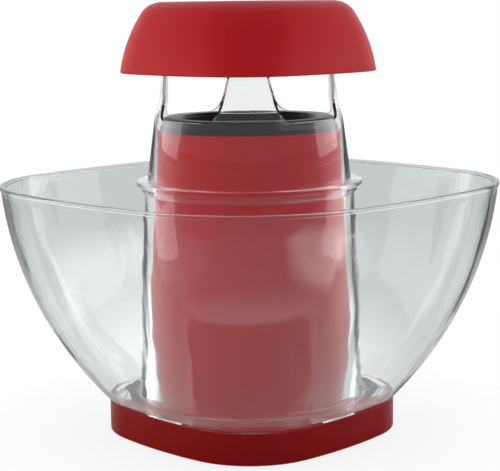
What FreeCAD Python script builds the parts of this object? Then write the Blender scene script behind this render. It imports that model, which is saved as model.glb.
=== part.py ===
import FreeCAD, Part
import math
import os
from types import SimpleNamespace

import Sketcher

# Hot-air popcorn maker. Millimetres, +Z up, the floor at z = 0 and the tower's axis on Z.
# In plan the base, the bowl and the cap are rounded squares that stand corner-on:
# their corners point along X and Y, and the front corner points along -Y.

# Driving dimensions. Everything else is worked out from these.
SIZES = {
    # Rounded-square family: radii as shares of the half width across the flat sides
    "corner_share": 0.647,
    "side_share": 3.24,
    # Base
    "foot_height": 2.0,
    "foot_radius": 8.0,
    "foot_stem_radius": 3.0,
    "foot_circle": 64.0,
    "base_height": 23.5,
    "base_half_width": 89.6,
    "base_wall": 2.6,
    "base_edge_radius": 1.2,
    "bowl_guide_height": 3.0,
    "cover_thickness": 2.4,
    "cover_gap": 0.3,
    "grille_inner": 26.0,
    "grille_outer": 52.0,
    "grille_slot_width": 3.2,
    "grille_slots": 30,
    "cover_screw_circle": 82.0,
    "boss_wall": 2.6,
    # Tower and collar
    "tower_height": 187.5,
    "tower_step": 1.8,
    "tower_flare": 7.7,
    "tower_wall": 2.4,
    "tower_flange": 2.5,
    "tower_edge_radius": 1.2,
    "ledge_bearing": 2.6,
    "collar_width": 15.0,
    "collar_height": 8.5,
    "collar_band_height": 2.8,
    "collar_band_step": 1.2,
    "collar_edge_radius": 2.6,
    "collar_pilot_depth": 5.0,
    # Popping chamber
    "chamber_radius": 46.0,
    "chamber_taper": 2.5,
    "chamber_wall": 1.0,
    "chamber_bend": 5.0,
    "chamber_flange": 5.0,
    "chamber_dome": 3.0,
    "louvre_height": 12.0,
    "louvre_lean": 7.0,
    "louvre_width": 1.8,
    "louvre_sill": 6.0,
    "louvres": 24,
    # Duct and heater
    "duct_wall": 1.2,
    "duct_rim": 8.0,
    "duct_inset": 12.0,
    "duct_room": 5.0,
    "duct_mouth_step": 3.0,
    "duct_overlap": 32.0,
    "duct_screws": 3,
    "gasket_height": 3.0,
    "heater_length": 34.0,
    "plenum_height": 8.0,
    "mica_thickness": 0.8,
    "mica_foot_height": 4.0,
    "mica_inset": 4.8,
    "coil_turns": 5,
    "coil_pitch": 4.4,
    "coil_wire_radius": 0.5,
    "coil_notch_depth": 2.0,
    "coil_notch_height": 1.4,
    "cutout_radius": 5.4,
    "cutout_height": 7.0,
    "fuse_width": 5.0,
    "fuse_length": 12.0,
    # Blower
    "intake_radius": 47.0,
    "fan_housing_wall": 2.4,
    "fan_flange_gap": 1.5,
    "fan_flange_inset": 5.5,
    "fan_boss_room": 9.0,
    "fan_side_room": 6.0,
    "fan_headroom": 8.2,
    "fan_gap": 3.0,
    "fan_plate": 1.8,
    "fan_hub_radius": 6.0,
    "blade_height": 17.0,
    "blade_thickness": 1.6,
    "blade_inner": 15.0,
    "blade_sweep": 34.0,
    "blade_curve": 34.0,
    "blades": 11,
    "clip_radius": 4.0,
    "clip_thickness": 1.2,
    "spider_hub": 19.0,
    "spider_arm": 6.0,
    "spider_thickness": 2.6,
    "spider_arms": 3,
    # Motor
    "motor_radius": 15.0,
    "motor_length": 28.0,
    "motor_edge_radius": 2.5,
    "motor_boss_radius": 4.8,
    "motor_boss_height": 1.8,
    "motor_screw_circle": 9.0,
    "end_cap_height": 3.0,
    "brush_box_width": 6.0,
    "brush_box_reach": 1.8,
    "board_radius": 17.0,
    "board_thickness": 1.6,
    "diode_radius": 1.3,
    "diode_length": 5.0,
    "diode_circle": 11.0,
    "shaft_radius": 1.55,
    "shaft_depth": 18.0,
    "shaft_clearance": 0.05,
    # Bowl
    "bowl_height": 151.5,
    "bowl_rim_half_width": 153.2,
    "bowl_wall_radius": 259.0,
    "bowl_wall": 2.8,
    "bowl_bead_height": 2.4,
    "bowl_bead_step": 0.6,
    "bowl_edge_radius": 0.8,
    "tube_drop": 2.0,
    "tube_wall": 2.6,
    "tube_foot_gap": 4.0,
    "tube_rim_gap": 6.8,
    "tube_bead_height": 4.0,
    "tube_bead_step": 2.2,
    "tube_foot_bend": 6.0,
    # Chimney
    "chimney_wall": 2.4,
    "chimney_flange_height": 3.0,
    "chimney_flange_overhang": 3.4,
    "chimney_lip_height": 6.0,
    "skirt_foot_step": 7.6,
    "skirt_top_step": 1.8,
    "skirt_bend": 26.0,
    "pillar_foot_inset": 1.8,
    "pillar_top_inset": 4.2,
    "pillar_foot_rise": 10.0,
    "sill_drop": 0.5,
    "window_height": 32.5,
    "window_foot_half": 26.0,
    "window_top_half": 31.5,
    "window_corner": 8.0,
    "chimney_ring_height": 10.0,
    # Cap
    "cap_half_width": 78.4,
    "cap_overlap": 11.5,
    "cap_height": 47.5,
    "cap_side_radius": 105.0,
    "cap_side_drop": 13.0,
    "cap_shoulder_radius": 15.0,
    "cap_wall": 2.4,
    "deflector_thickness": 2.2,
    "deflector_dome_radius": 44.0,
    "deflector_dome_depth": 9.0,
    "deflector_ring_wall": 2.0,
    "deflector_ring_height": 7.0,
    # Rocker switch and cord gland, on the two rear sides
    "side_fitting_height": 11.6,
    "seat_depth": 0.9,
    "switch_half_width": 11.5,
    "switch_half_height": 7.6,
    "switch_bezel": 1.4,
    "switch_lip": 1.8,
    "switch_depth": 12.0,
    "rocker_half_width": 7.7,
    "rocker_half_height": 4.4,
    "rocker_rise": 3.4,
    "rocker_dip": 2.1,
    "rocker_heel": 4.5,
    "rocker_tilt": 7.0,
    "rocker_pivot_radius": 1.2,
    "rocker_pivot_length": 0.9,
    "rocker_gap": 0.4,
    "rocker_well_room": 2.4,
    "gland_radius": 7.0,
    "gland_neck_radius": 5.0,
    "gland_bore_radius": 3.6,
    "gland_lip": 1.8,
    "gland_nut": 3.0,
    # Screws and fits
    "screw_radius": 1.5,
    "screw_head_radius": 3.0,
    "screw_head_height": 1.5,
    "screw_length": 9.0,
    "screw_tip_room": 0.8,
    "screw_head_gap": 0.9,
    "fit": 0.3,
}

COLUMN = "A"
SIDE_ANGLE = 45.0      # the flat sides face 45 degrees off the axes
SWITCH_ANGLE = 45.0    # rear side to the right
GLAND_ANGLE = 135.0    # rear side to the left
FULL_TURN = 360.0
HALF_TURN = 180.0
QUARTER_TURN = 90.0
CORNERS = 4            # feet, bosses, windows and most screws come one to a corner or a side
MOTOR_SCREWS = 2
BOWL_STEPS = 5         # the bowl's wall is lofted through one section more than this


class Size:
    """A value with the sheet expression it came from, so that sums of sizes stay bound."""

    def __init__(self, text, value):
        self.text = text
        self.value = value

    def join(self, sign, other, value):
        return Size(f"({self.text} {sign} {other.text})", value)

    def __add__(self, other):
        other = as_size(other)
        return self.join("+", other, self.value + other.value)

    def __sub__(self, other):
        other = as_size(other)
        return self.join("-", other, self.value - other.value)

    def __mul__(self, other):
        other = as_size(other)
        return self.join("*", other, self.value * other.value)

    def __truediv__(self, other):
        other = as_size(other)
        return self.join("/", other, self.value / other.value)

    def __neg__(self):
        return Size(f"(0 - {self.text})", -self.value)


def as_size(number):
    return number if isinstance(number, Size) else Size(repr(number), number)


def root(size):
    return Size(f"sqrt({size.text})", math.sqrt(size.value))


def hypotenuse(one, other):
    return root(one * one + other * other)


def other_leg(long_side, leg):
    return root(long_side * long_side - leg * leg)


def cosine(degrees):
    degrees = as_size(degrees)
    return Size(f"cos({degrees.text})", math.cos(math.radians(degrees.value)))


def sine(degrees):
    degrees = as_size(degrees)
    return Size(f"sin({degrees.text})", math.sin(math.radians(degrees.value)))


def arc_sine(share):
    return Size(f"(asin({share.text}) / 1 deg)", math.degrees(math.asin(share.value)))


def make_sheet(document):
    sheet = document.addObject("Spreadsheet::Sheet", "dimensions")
    for row, (alias, value) in enumerate(SIZES.items(), start=1):
        sheet.set(f"{COLUMN}{row}", str(value))
        sheet.setAlias(f"{COLUMN}{row}", alias)
    document.recompute()
    return SimpleNamespace(**{alias: Size(f"dimensions.{alias}", value) for alias, value in SIZES.items()})


doc = FreeCAD.newDocument("popcorn_maker")
d = make_sheet(doc)
NONE = as_size(0.0)

# Levels, from the floor up
cover_top = d.foot_height + d.cover_thickness
deck_top = d.base_height
deck_under = deck_top - d.base_wall
flange_top = deck_top + d.tower_flange
tower_top = deck_top + d.tower_height
ledge_under = tower_top - d.tower_flange
collar_top = tower_top + d.collar_height
board_bottom = cover_top + d.diode_radius * 2 + d.fit
end_cap_bottom = board_bottom + d.board_thickness
motor_bottom = end_cap_bottom + d.end_cap_height
motor_top = motor_bottom + d.motor_length
spider_top = motor_top + d.spider_thickness
blade_bottom = spider_top + d.fan_gap
fan_plate_bottom = blade_bottom + d.blade_height
fan_plate_top = fan_plate_bottom + d.fan_plate
clip_top = fan_plate_top + d.clip_thickness
fan_housing_top = fan_plate_top + d.fan_headroom + d.fan_housing_wall
duct_step = fan_housing_top + d.heater_length
chamber_bottom = duct_step + d.plenum_height
duct_top = chamber_bottom + d.duct_overlap
bowl_rim = deck_top + d.bowl_height
tube_top = bowl_rim - d.tube_drop
chimney_foot_top = tube_top + d.chimney_flange_height
sill = collar_top - d.sill_drop
window_top = sill + d.window_height
chimney_top = window_top + d.chimney_ring_height
pillar_foot = sill + d.pillar_foot_rise
cap_bottom = chimney_top - d.cap_overlap
cap_top = cap_bottom + d.cap_height
deflector_top = chimney_top + d.deflector_thickness

# Radii, from the chamber's mouth outwards
chamber_mouth = d.chamber_radius + d.chamber_wall
chamber_foot = chamber_mouth - d.chamber_taper
chamber_rim = chamber_mouth + d.chamber_flange
ledge_radius = chamber_rim - d.ledge_bearing
collar_radius = d.chamber_radius + d.collar_width
collar_screw_circle = (chamber_rim + collar_radius) / 2
tower_radius = collar_radius + d.tower_step
tower_foot = tower_radius + d.tower_flare
tube_foot = tower_foot + d.tube_foot_gap
tube_rim = tower_radius + d.tube_rim_gap
tube_bead = tube_rim + d.tube_wall + d.tube_bead_step
fan_flange = tower_foot - d.tower_wall - d.fan_flange_gap
tower_screw_circle = fan_flange - d.fan_flange_inset
fan_housing_outer = tower_screw_circle - d.fan_boss_room
fan_housing_inner = fan_housing_outer - d.fan_housing_wall
fan_radius = fan_housing_inner - d.fan_side_room
duct_radius = fan_housing_outer - d.duct_inset
duct_inner = duct_radius - d.duct_wall
duct_wide = chamber_mouth + d.duct_room
duct_mouth = duct_inner - d.duct_mouth_step
skirt_foot = tower_radius + d.skirt_foot_step
skirt_top = tower_radius + d.skirt_top_step
pillar_foot_radius = tower_radius - d.pillar_foot_inset
pillar_top_radius = tower_radius - d.pillar_top_inset
pilot_radius = d.screw_radius - d.fit / 2
boss_radius = d.screw_radius + d.boss_wall
cap_boss_circle = pillar_top_radius - d.chimney_wall - d.screw_head_radius - d.screw_head_gap

# How far the cuts in the base's sides run: past the seat, and right through the wall
seat_cut = d.seat_depth * 2
wall_cut = d.base_wall * 3


def new_body(label, turn=0.0):
    body = doc.addObject("PartDesign::Body", label)
    body.Label = label
    body.Placement = FreeCAD.Placement(FreeCAD.Vector(), FreeCAD.Rotation(FreeCAD.Vector(0, 0, 1), turn))
    return body


def datum(body, role):
    return next(item for item in body.Origin.OriginFeatures if item.Role == role)


def new_sketch(body, plane, level=NONE):
    """A sketch on one of the body's own planes, moved along the plane's normal by level."""
    sketch = body.newObject("Sketcher::SketchObject", f"{body.Label}_sketch")
    sketch.AttachmentSupport = [(datum(body, plane), "")]
    sketch.MapMode = "FlatFace"
    sketch.setExpression("AttachmentOffset.Base.z", level.text)
    return sketch


def side_sketch(body, azimuth, distance=NONE):
    """An upright sketch that faces outwards at azimuth: x runs sideways and y is the height."""
    sketch = new_sketch(body, "XZ_Plane")
    turn = azimuth + QUARTER_TURN
    sketch.AttachmentOffset = FreeCAD.Placement(
        FreeCAD.Vector(), FreeCAD.Rotation(FreeCAD.Vector(0, 1, 0), turn))
    sketch.setExpression("AttachmentOffset.Base.x", (distance * sine(turn)).text)
    sketch.setExpression("AttachmentOffset.Base.z", (distance * cosine(turn)).text)
    return sketch


def bind(sketch, kind, *terms):
    """Add a measured constraint whose last term is a Size, and bind it to the sheet."""
    size = terms[-1]
    number = sketch.addConstraint(Sketcher.Constraint(kind, *terms[:-1], size.value))
    sketch.setExpression(f"Constraints[{number}]", size.text)


def lock(sketch, geometry, end, x, y):
    """Hold a point at x, y from the sketch's origin."""
    for kind, axis, size in (("DistanceX", -2, as_size(x)), ("DistanceY", -1, as_size(y))):
        if abs(size.value) < 1e-9:
            sketch.addConstraint(Sketcher.Constraint("PointOnObject", geometry, end, axis))
        elif size.value > 0:
            bind(sketch, kind, -1, 1, geometry, end, size)
        else:
            bind(sketch, kind, geometry, end, -1, 1, -size)


def draw_circle(sketch, radius, x=NONE, y=NONE):
    centre = FreeCAD.Vector(x.value, y.value, 0)
    circle = sketch.addGeometry(Part.Circle(centre, FreeCAD.Vector(0, 0, 1), radius.value))
    lock(sketch, circle, 3, x, y)
    bind(sketch, "Radius", circle, radius)


def arc_between(start, middle, end):
    """An arc through three points, and which of its ends lies at start and which at end."""
    circle = Part.Circle(start, middle, end)
    centre = circle.Center
    first, last = [math.atan2(point.y - centre.y, point.x - centre.x) for point in (start, end)]
    leftward = (middle - start).cross(end - middle).z > 0
    if not leftward:
        first, last = last, first
    upright = Part.Circle(centre, FreeCAD.Vector(0, 0, 1), circle.Radius)
    shape = Part.ArcOfCircle(upright, first, last)
    return shape, (1, 2) if leftward else (2, 1)


def draw_outline(sketch, corners):
    """A closed outline of corners (x, y), (x, y, rounding radius) or (x, y, None, bow radius).

    A bow radius makes the run that leaves the corner an arc: positive bows to its right.
    """
    points = [FreeCAD.Vector(as_size(c[0]).value, as_size(c[1]).value, 0) for c in corners]
    rounding = [c[2] if len(c) > 2 else None for c in corners]
    bows = [c[3] if len(c) > 3 else None for c in corners]
    count = len(corners)
    leaving, arriving = {}, {}
    for i, point in enumerate(points):
        if rounding[i] is None:
            leaving[i] = arriving[i] = point
            continue
        back = (points[i - 1] - point).normalize()
        ahead = (points[(i + 1) % count] - point).normalize()
        reach = rounding[i].value / math.tan(back.getAngle(ahead) / 2)
        arriving[i] = point + back * reach
        leaving[i] = point + ahead * reach
    chain = []
    for i, point in enumerate(points):
        if rounding[i] is not None:
            inward = (arriving[i] + leaving[i] - point * 2).normalize()
            spread = (arriving[i] - point).getAngle(inward)
            reach = rounding[i].value / math.sin(spread) - rounding[i].value
            shape, ends = arc_between(arriving[i], point + inward * reach, leaving[i])
            chain.append((sketch.addGeometry(shape), ends, i, "round"))
        start, end = leaving[i], arriving[(i + 1) % count]
        if bows[i] is None:
            chain.append((sketch.addGeometry(Part.LineSegment(start, end)), (1, 2), i, "line"))
            continue
        half = (end - start) / 2
        depth = bows[i].value
        rise = abs(depth) - math.sqrt(depth * depth - half.Length ** 2)
        outward = FreeCAD.Vector(half.y, -half.x, 0).normalize() * math.copysign(rise, depth)
        shape, ends = arc_between(start, start + half + outward, end)
        chain.append((sketch.addGeometry(shape), ends, i, "bow"))
    for index, (item, ends, corner, kind) in enumerate(chain):
        before, before_ends, _, before_kind = chain[index - 1]
        joint = "Tangent" if "round" in (kind, before_kind) else "Coincident"
        sketch.addConstraint(Sketcher.Constraint(joint, before, before_ends[1], item, ends[0]))
    for index, (item, ends, corner, kind) in enumerate(chain):
        x, y = corners[corner][:2]
        if kind == "round":
            meeting = sketch.addGeometry(Part.Point(points[corner]), True)
            run_before = chain[index - 1][0]
            run_after = chain[(index + 1) % len(chain)][0]
            sketch.addConstraint(Sketcher.Constraint("PointOnObject", meeting, 1, run_before))
            sketch.addConstraint(Sketcher.Constraint("PointOnObject", meeting, 1, run_after))
            lock(sketch, meeting, 1, x, y)
            bind(sketch, "Radius", item, rounding[corner])
        elif rounding[corner] is None:
            lock(sketch, item, ends[0], x, y)
        if kind == "bow":
            bind(sketch, "Radius", item, bows[corner] if bows[corner].value > 0 else -bows[corner])


def draw_rounded_square(sketch, half_width, inset=NONE):
    """Four corner arcs on the axes and four bowed sides between them, all tangent."""
    corner_radius = half_width * d.corner_share - inset
    side_radius = half_width * d.side_share - inset
    offset = half_width * (d.side_share - 1) / root(as_size(2))
    along = offset.value
    reach = math.sqrt((side_radius.value - corner_radius.value) ** 2 - along ** 2) - along
    half_angle = math.degrees(math.atan2(along, reach + along))
    up = FreeCAD.Vector(0, 0, 1)
    arcs = []
    for turn in (0, 90, 180, 270):
        heading = FreeCAD.Vector(math.cos(math.radians(turn)), math.sin(math.radians(turn)), 0)
        corner = Part.Circle(heading * reach, up, corner_radius.value)
        arcs.append(sketch.addGeometry(Part.ArcOfCircle(
            corner, math.radians(turn - half_angle), math.radians(turn + half_angle))))
        middle = math.radians(turn + SIDE_ANGLE)
        heading = FreeCAD.Vector(math.cos(middle), math.sin(middle), 0)
        side = Part.Circle(heading * (-along * math.sqrt(2)), up, side_radius.value)
        arcs.append(sketch.addGeometry(Part.ArcOfCircle(
            side, math.radians(turn + half_angle), math.radians(turn + 90 - half_angle))))
    for index, arc in enumerate(arcs):
        following = arcs[(index + 1) % len(arcs)]
        sketch.addConstraint(Sketcher.Constraint("Tangent", arc, 2, following, 1))
    for index in (2, 4, 6):
        sketch.addConstraint(Sketcher.Constraint("Equal", arcs[0], arcs[index]))
        sketch.addConstraint(Sketcher.Constraint("Equal", arcs[1], arcs[index + 1]))
    for index, axis in ((0, -1), (2, -2), (4, -1), (6, -2)):
        sketch.addConstraint(Sketcher.Constraint("PointOnObject", arcs[index], 3, axis))
    bind(sketch, "Radius", arcs[0], corner_radius)
    bind(sketch, "Radius", arcs[1], side_radius)
    lock(sketch, arcs[1], 3, -offset, -offset)
    lock(sketch, arcs[5], 3, offset, offset)


def pad(body, sketch, length):
    feature = body.newObject("PartDesign::Pad", f"{body.Label}_pad")
    feature.Profile = sketch
    feature.setExpression("Length", length.text)
    return feature


def cut(body, sketch, length, forwards=True):
    """Pocket along the sketch's normal, or against it."""
    feature = body.newObject("PartDesign::Pocket", f"{body.Label}_pocket")
    feature.Profile = sketch
    feature.Reversed = forwards
    feature.setExpression("Length", length.text)
    return feature


def revolve(body, corners, kind="Revolution"):
    """Turn an outline of (radius, height) corners about the body's Z axis, or cut it away."""
    sketch = new_sketch(body, "XZ_Plane")
    draw_outline(sketch, corners)
    feature = body.newObject(f"PartDesign::{kind}", f"{body.Label}_{kind.lower()}")
    feature.Profile = sketch
    feature.ReferenceAxis = (sketch, ["V_Axis"])
    feature.Angle = FULL_TURN
    return feature


def loft(body, sections, kind="AdditiveLoft"):
    """Loft through rounded squares given as (height, half width)."""
    sketches = []
    for level, half_width in sections:
        sketch = new_sketch(body, "XY_Plane", level)
        draw_rounded_square(sketch, half_width)
        sketches.append(sketch)
    feature = body.newObject(f"PartDesign::{kind}", f"{body.Label}_{kind.lower()}")
    feature.Profile = sketches[0]
    feature.Sections = sketches[1:]
    return feature


def polar(body, features, count):
    """Repeat features evenly round the body's Z axis."""
    pattern = body.newObject("PartDesign::PolarPattern", f"{body.Label}_pattern")
    pattern.Originals = features
    pattern.Axis = (datum(body, "Z_Axis"), [""])
    pattern.Angle = FULL_TURN
    pattern.setExpression("Occurrences", as_size(count).text)
    body.Tip = pattern
    return pattern


def disc(body, radius, bottom, height, x=NONE, y=NONE):
    sketch = new_sketch(body, "XY_Plane", bottom)
    draw_circle(sketch, radius, x, y)
    return pad(body, sketch, height)


def bore(body, radius, bottom, height, x=NONE, y=NONE):
    sketch = new_sketch(body, "XY_Plane", bottom)
    draw_circle(sketch, radius, x, y)
    return cut(body, sketch, height)


def block(body, half_x, half_y, bottom, height, x=NONE, y=NONE):
    sketch = new_sketch(body, "XY_Plane", bottom)
    draw_outline(sketch, rectangle(x - half_x, y - half_y, x + half_x, y + half_y))
    return pad(body, sketch, height)


def rectangle(left, low, right, high):
    return [(left, low), (right, low), (right, high), (left, high)]


def round_edges(body, feature, radius, level):
    """Round every edge of a feature that lies flat at a level."""
    doc.recompute()
    names = []
    for number, edge in enumerate(feature.Shape.Edges, start=1):
        box = edge.BoundBox
        if abs(box.ZMin - level.value) < 1e-4 and abs(box.ZMax - level.value) < 1e-4:
            names.append(f"Edge{number}")
    fillet = body.newObject("PartDesign::Fillet", f"{body.Label}_fillet")
    fillet.Base = (feature, names)
    fillet.setExpression("Radius", radius.text)
    return fillet


def screw_group(label, circle, seat, count, turn=0.0, length=None, upwards=True):
    """Equal screws round the axis: each head bears on seat and its shank runs on from there."""
    body = new_body(label, turn)
    length = length or d.screw_length
    if upwards:
        head = disc(body, d.screw_head_radius, seat - d.screw_head_height, d.screw_head_height, circle)
        shank = disc(body, pilot_radius, seat, length, circle)
    else:
        head = disc(body, d.screw_head_radius, seat, d.screw_head_height, circle)
        shank = disc(body, pilot_radius, seat - length, length, circle)
    polar(body, [head, shank], count)
    return body


def base_housing():
    body = new_body("base_housing")
    outer = new_sketch(body, "XY_Plane", d.foot_height)
    draw_rounded_square(outer, d.base_half_width)
    shell = pad(body, outer, deck_top - d.foot_height)
    round_edges(body, shell, d.base_edge_radius, deck_top)
    inner = new_sketch(body, "XY_Plane", d.foot_height)
    draw_rounded_square(inner, d.base_half_width, d.base_wall)
    cut(body, inner, deck_under - d.foot_height)
    boss = disc(body, boss_radius, cover_top, deck_under - cover_top, d.cover_screw_circle)
    polar(body, [boss], CORNERS)
    pilot = bore(body, pilot_radius, cover_top, d.screw_length, d.cover_screw_circle)
    polar(body, [pilot], CORNERS)
    bore(body, d.intake_radius, deck_under, d.base_wall)
    shift = tower_screw_circle * cosine(SIDE_ANGLE)
    clear = bore(body, d.screw_radius + d.fit, deck_under, d.base_wall, shift, shift)
    polar(body, [clear], CORNERS)
    guide = new_sketch(body, "XY_Plane", deck_top)
    draw_circle(guide, tube_foot - d.fit)
    draw_circle(guide, tower_foot + d.fit)
    pad(body, guide, d.bowl_guide_height)
    switch_cutout(body)
    gland_cutout(body)
    return body


def switch_cutout(body):
    """A flat seat for the switch's lip and a window for its case, in the rear right side."""
    half_width = d.switch_half_width + d.fit
    half_height = d.switch_half_height + d.fit
    seat = side_sketch(body, SWITCH_ANGLE, d.base_half_width - d.seat_depth)
    draw_outline(seat, rectangle(-half_width, d.side_fitting_height - half_height,
                                 half_width, d.side_fitting_height + half_height))
    cut(body, seat, seat_cut)
    half_width = d.switch_half_width - d.switch_bezel + d.fit
    half_height = d.switch_half_height - d.switch_bezel + d.fit
    window = side_sketch(body, SWITCH_ANGLE, d.base_half_width - d.base_wall * 2)
    draw_outline(window, rectangle(-half_width, d.side_fitting_height - half_height,
                                   half_width, d.side_fitting_height + half_height))
    cut(body, window, wall_cut)


def gland_cutout(body):
    """A round seat for the gland's lip and a hole for its neck, in the rear left side."""
    seat = side_sketch(body, GLAND_ANGLE, d.base_half_width - d.seat_depth)
    draw_circle(seat, d.gland_radius + d.fit, NONE, d.side_fitting_height)
    cut(body, seat, seat_cut)
    hole = side_sketch(body, GLAND_ANGLE, d.base_half_width - d.base_wall * 2)
    draw_circle(hole, d.gland_neck_radius + d.fit, NONE, d.side_fitting_height)
    cut(body, hole, wall_cut)


def bottom_cover():
    body = new_body("bottom_cover")
    outline = new_sketch(body, "XY_Plane", d.foot_height)
    draw_rounded_square(outline, d.base_half_width, d.base_wall + d.cover_gap)
    pad(body, outline, d.cover_thickness)
    slot = new_sketch(body, "XY_Plane", d.foot_height)
    half = d.grille_slot_width / 2
    draw_outline(slot, rectangle(d.grille_inner, -half, d.grille_outer, half))
    polar(body, [cut(body, slot, d.cover_thickness)], d.grille_slots)
    recess = bore(body, d.screw_head_radius + d.fit, d.foot_height, d.screw_head_height, d.cover_screw_circle)
    clear = bore(body, d.screw_radius + d.fit, d.foot_height, d.cover_thickness, d.cover_screw_circle)
    stem = bore(body, d.foot_stem_radius + d.fit / 2, d.foot_height, d.cover_thickness, d.foot_circle)
    polar(body, [recess, clear, stem], CORNERS)
    return body


def rubber_feet():
    body = new_body("rubber_feet")
    pad_disc = disc(body, d.foot_radius, NONE, d.foot_height, d.foot_circle)
    stem = disc(body, d.foot_stem_radius, d.foot_height, d.cover_thickness, d.foot_circle)
    polar(body, [pad_disc, stem], CORNERS)
    return body


def tower_housing():
    body = new_body("tower_housing", SIDE_ANGLE)
    revolve(body, [
        (d.intake_radius, deck_top),
        (tower_foot, deck_top),
        (tower_radius, tower_top, d.tower_edge_radius),
        (ledge_radius, tower_top),
        (ledge_radius, ledge_under),
        (tower_radius - d.tower_wall, ledge_under),
        (tower_foot - d.tower_wall, flange_top),
        (d.intake_radius, flange_top),
    ])
    clear = d.screw_radius + d.fit
    foot_hole = bore(body, clear, deck_top, d.tower_flange, tower_screw_circle)
    ledge_hole = bore(body, clear, ledge_under, d.tower_flange, collar_screw_circle)
    polar(body, [foot_hole, ledge_hole], CORNERS)
    return body


def collar():
    body = new_body("collar", SIDE_ANGLE)
    band_top = tower_top + d.collar_band_height
    flange = tower_top + d.chamber_wall
    revolve(body, [
        (chamber_rim + d.fit, tower_top),
        (collar_radius, tower_top),
        (collar_radius, band_top),
        (collar_radius - d.collar_band_step, band_top),
        (collar_radius - d.collar_band_step * 2, collar_top, d.collar_edge_radius),
        (d.chamber_radius, collar_top, d.collar_edge_radius),
        (d.chamber_radius, flange),
        (chamber_rim + d.fit, flange),
    ])
    pilot = bore(body, pilot_radius, tower_top, d.collar_pilot_depth, collar_screw_circle)
    polar(body, [pilot], CORNERS)
    return body


def popping_chamber():
    """Thin aluminium cup with a coned floor and a ring of slanted louvres near the bottom."""
    body = new_body("popping_chamber")
    wall = d.chamber_wall
    revolve(body, [
        (NONE, chamber_bottom + d.chamber_dome),
        (chamber_foot, chamber_bottom, d.chamber_bend),
        (chamber_mouth, tower_top),
        (chamber_rim, tower_top),
        (chamber_rim, tower_top + wall),
        (d.chamber_radius, tower_top + wall),
        (chamber_foot - wall, chamber_bottom + wall, d.chamber_bend - wall),
        (NONE, chamber_bottom + wall + d.chamber_dome),
    ])
    slot = new_sketch(body, "XZ_Plane", chamber_foot - d.chamber_bend)
    low = chamber_bottom + d.louvre_sill
    high = low + d.louvre_height
    lean = d.louvre_lean / 2
    half = d.louvre_width / 2
    draw_outline(slot, [(-lean - half, low), (half - lean, low), (lean + half, high), (lean - half, high)])
    polar(body, [cut(body, slot, d.chamber_bend * 2)], d.louvres)
    return body


def chamber_radius_at(level):
    """Outside radius of the popping chamber's tapered wall."""
    return chamber_foot + d.chamber_taper * (level - chamber_bottom) / (tower_top - chamber_bottom)


def heater_duct():
    """Stepped steel tube: narrow round the heater, wide round the chamber's louvres."""
    body = new_body("heater_duct")
    lip = chamber_radius_at(duct_top) + d.fit
    wall = d.duct_wall
    revolve(body, [
        (duct_inner, fan_housing_top),
        (duct_radius + d.duct_rim, fan_housing_top),
        (duct_radius + d.duct_rim, fan_housing_top + wall),
        (duct_radius, fan_housing_top + wall),
        (duct_radius, duct_step),
        (duct_wide, duct_step),
        (duct_wide, duct_top),
        (lip, duct_top),
        (lip, duct_top - wall),
        (duct_wide - wall, duct_top - wall),
        (duct_wide - wall, duct_step + wall),
        (duct_inner, duct_step + wall),
    ])
    hole = bore(body, d.screw_radius + d.fit, fan_housing_top, wall, duct_radius + d.duct_rim / 2)
    polar(body, [hole], d.duct_screws)
    return body


def duct_gasket():
    body = new_body("duct_gasket")
    top = duct_top + d.gasket_height
    play = d.fit / 2
    revolve(body, [
        (chamber_radius_at(duct_top) + play, duct_top),
        (duct_wide, duct_top),
        (duct_wide, top),
        (chamber_radius_at(top) + play, top),
    ])
    return body


def mica_board(label, turn, phase, lap_from_top):
    """Notched board on edge; two of them lap at right angles on the axis."""
    body = new_body(label, turn)
    bottom = fan_housing_top
    top = duct_step - d.mica_foot_height
    foot = duct_inner - d.fit
    reach = duct_inner - d.mica_inset
    step = bottom + d.mica_foot_height
    sheet = new_sketch(body, "XZ_Plane", -d.mica_thickness / 2)
    draw_outline(sheet, [
        (-foot, bottom), (foot, bottom), (foot, step), (reach, step),
        (reach, top), (-reach, top), (-reach, step), (-foot, step),
    ])
    pad(body, sheet, d.mica_thickness)
    half_lap = d.mica_thickness / 2 + d.fit / 2
    middle = (bottom + top) / 2
    low, high = (middle, top) if lap_from_top else (bottom, middle)
    lap = new_sketch(body, "XZ_Plane", -d.mica_thickness)
    draw_outline(lap, rectangle(-half_lap, low, half_lap, high))
    cut(body, lap, d.mica_thickness * 2)
    for side, share in ((1, phase), (-1, phase + 0.5)):
        notch = new_sketch(body, "XZ_Plane", -d.mica_thickness)
        centre = coil_start() + d.coil_pitch * share
        half = d.coil_notch_height / 2
        edges = [reach - d.coil_notch_depth, reach + d.fit]
        left, right = edges if side > 0 else (-edges[1], -edges[0])
        draw_outline(notch, rectangle(left, centre - half, right, centre + half))
        feature = cut(body, notch, d.mica_thickness * 2)
        row = body.newObject("PartDesign::LinearPattern", f"{label}_row")
        row.Originals = [feature]
        row.Direction = (notch, ["V_Axis"])
        row.setExpression("Length", (d.coil_pitch * (d.coil_turns - 1)).text)
        row.setExpression("Occurrences", d.coil_turns.text)
        body.Tip = row
    return body


def coil_start():
    return fan_housing_top + d.mica_foot_height + d.coil_notch_height


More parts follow.
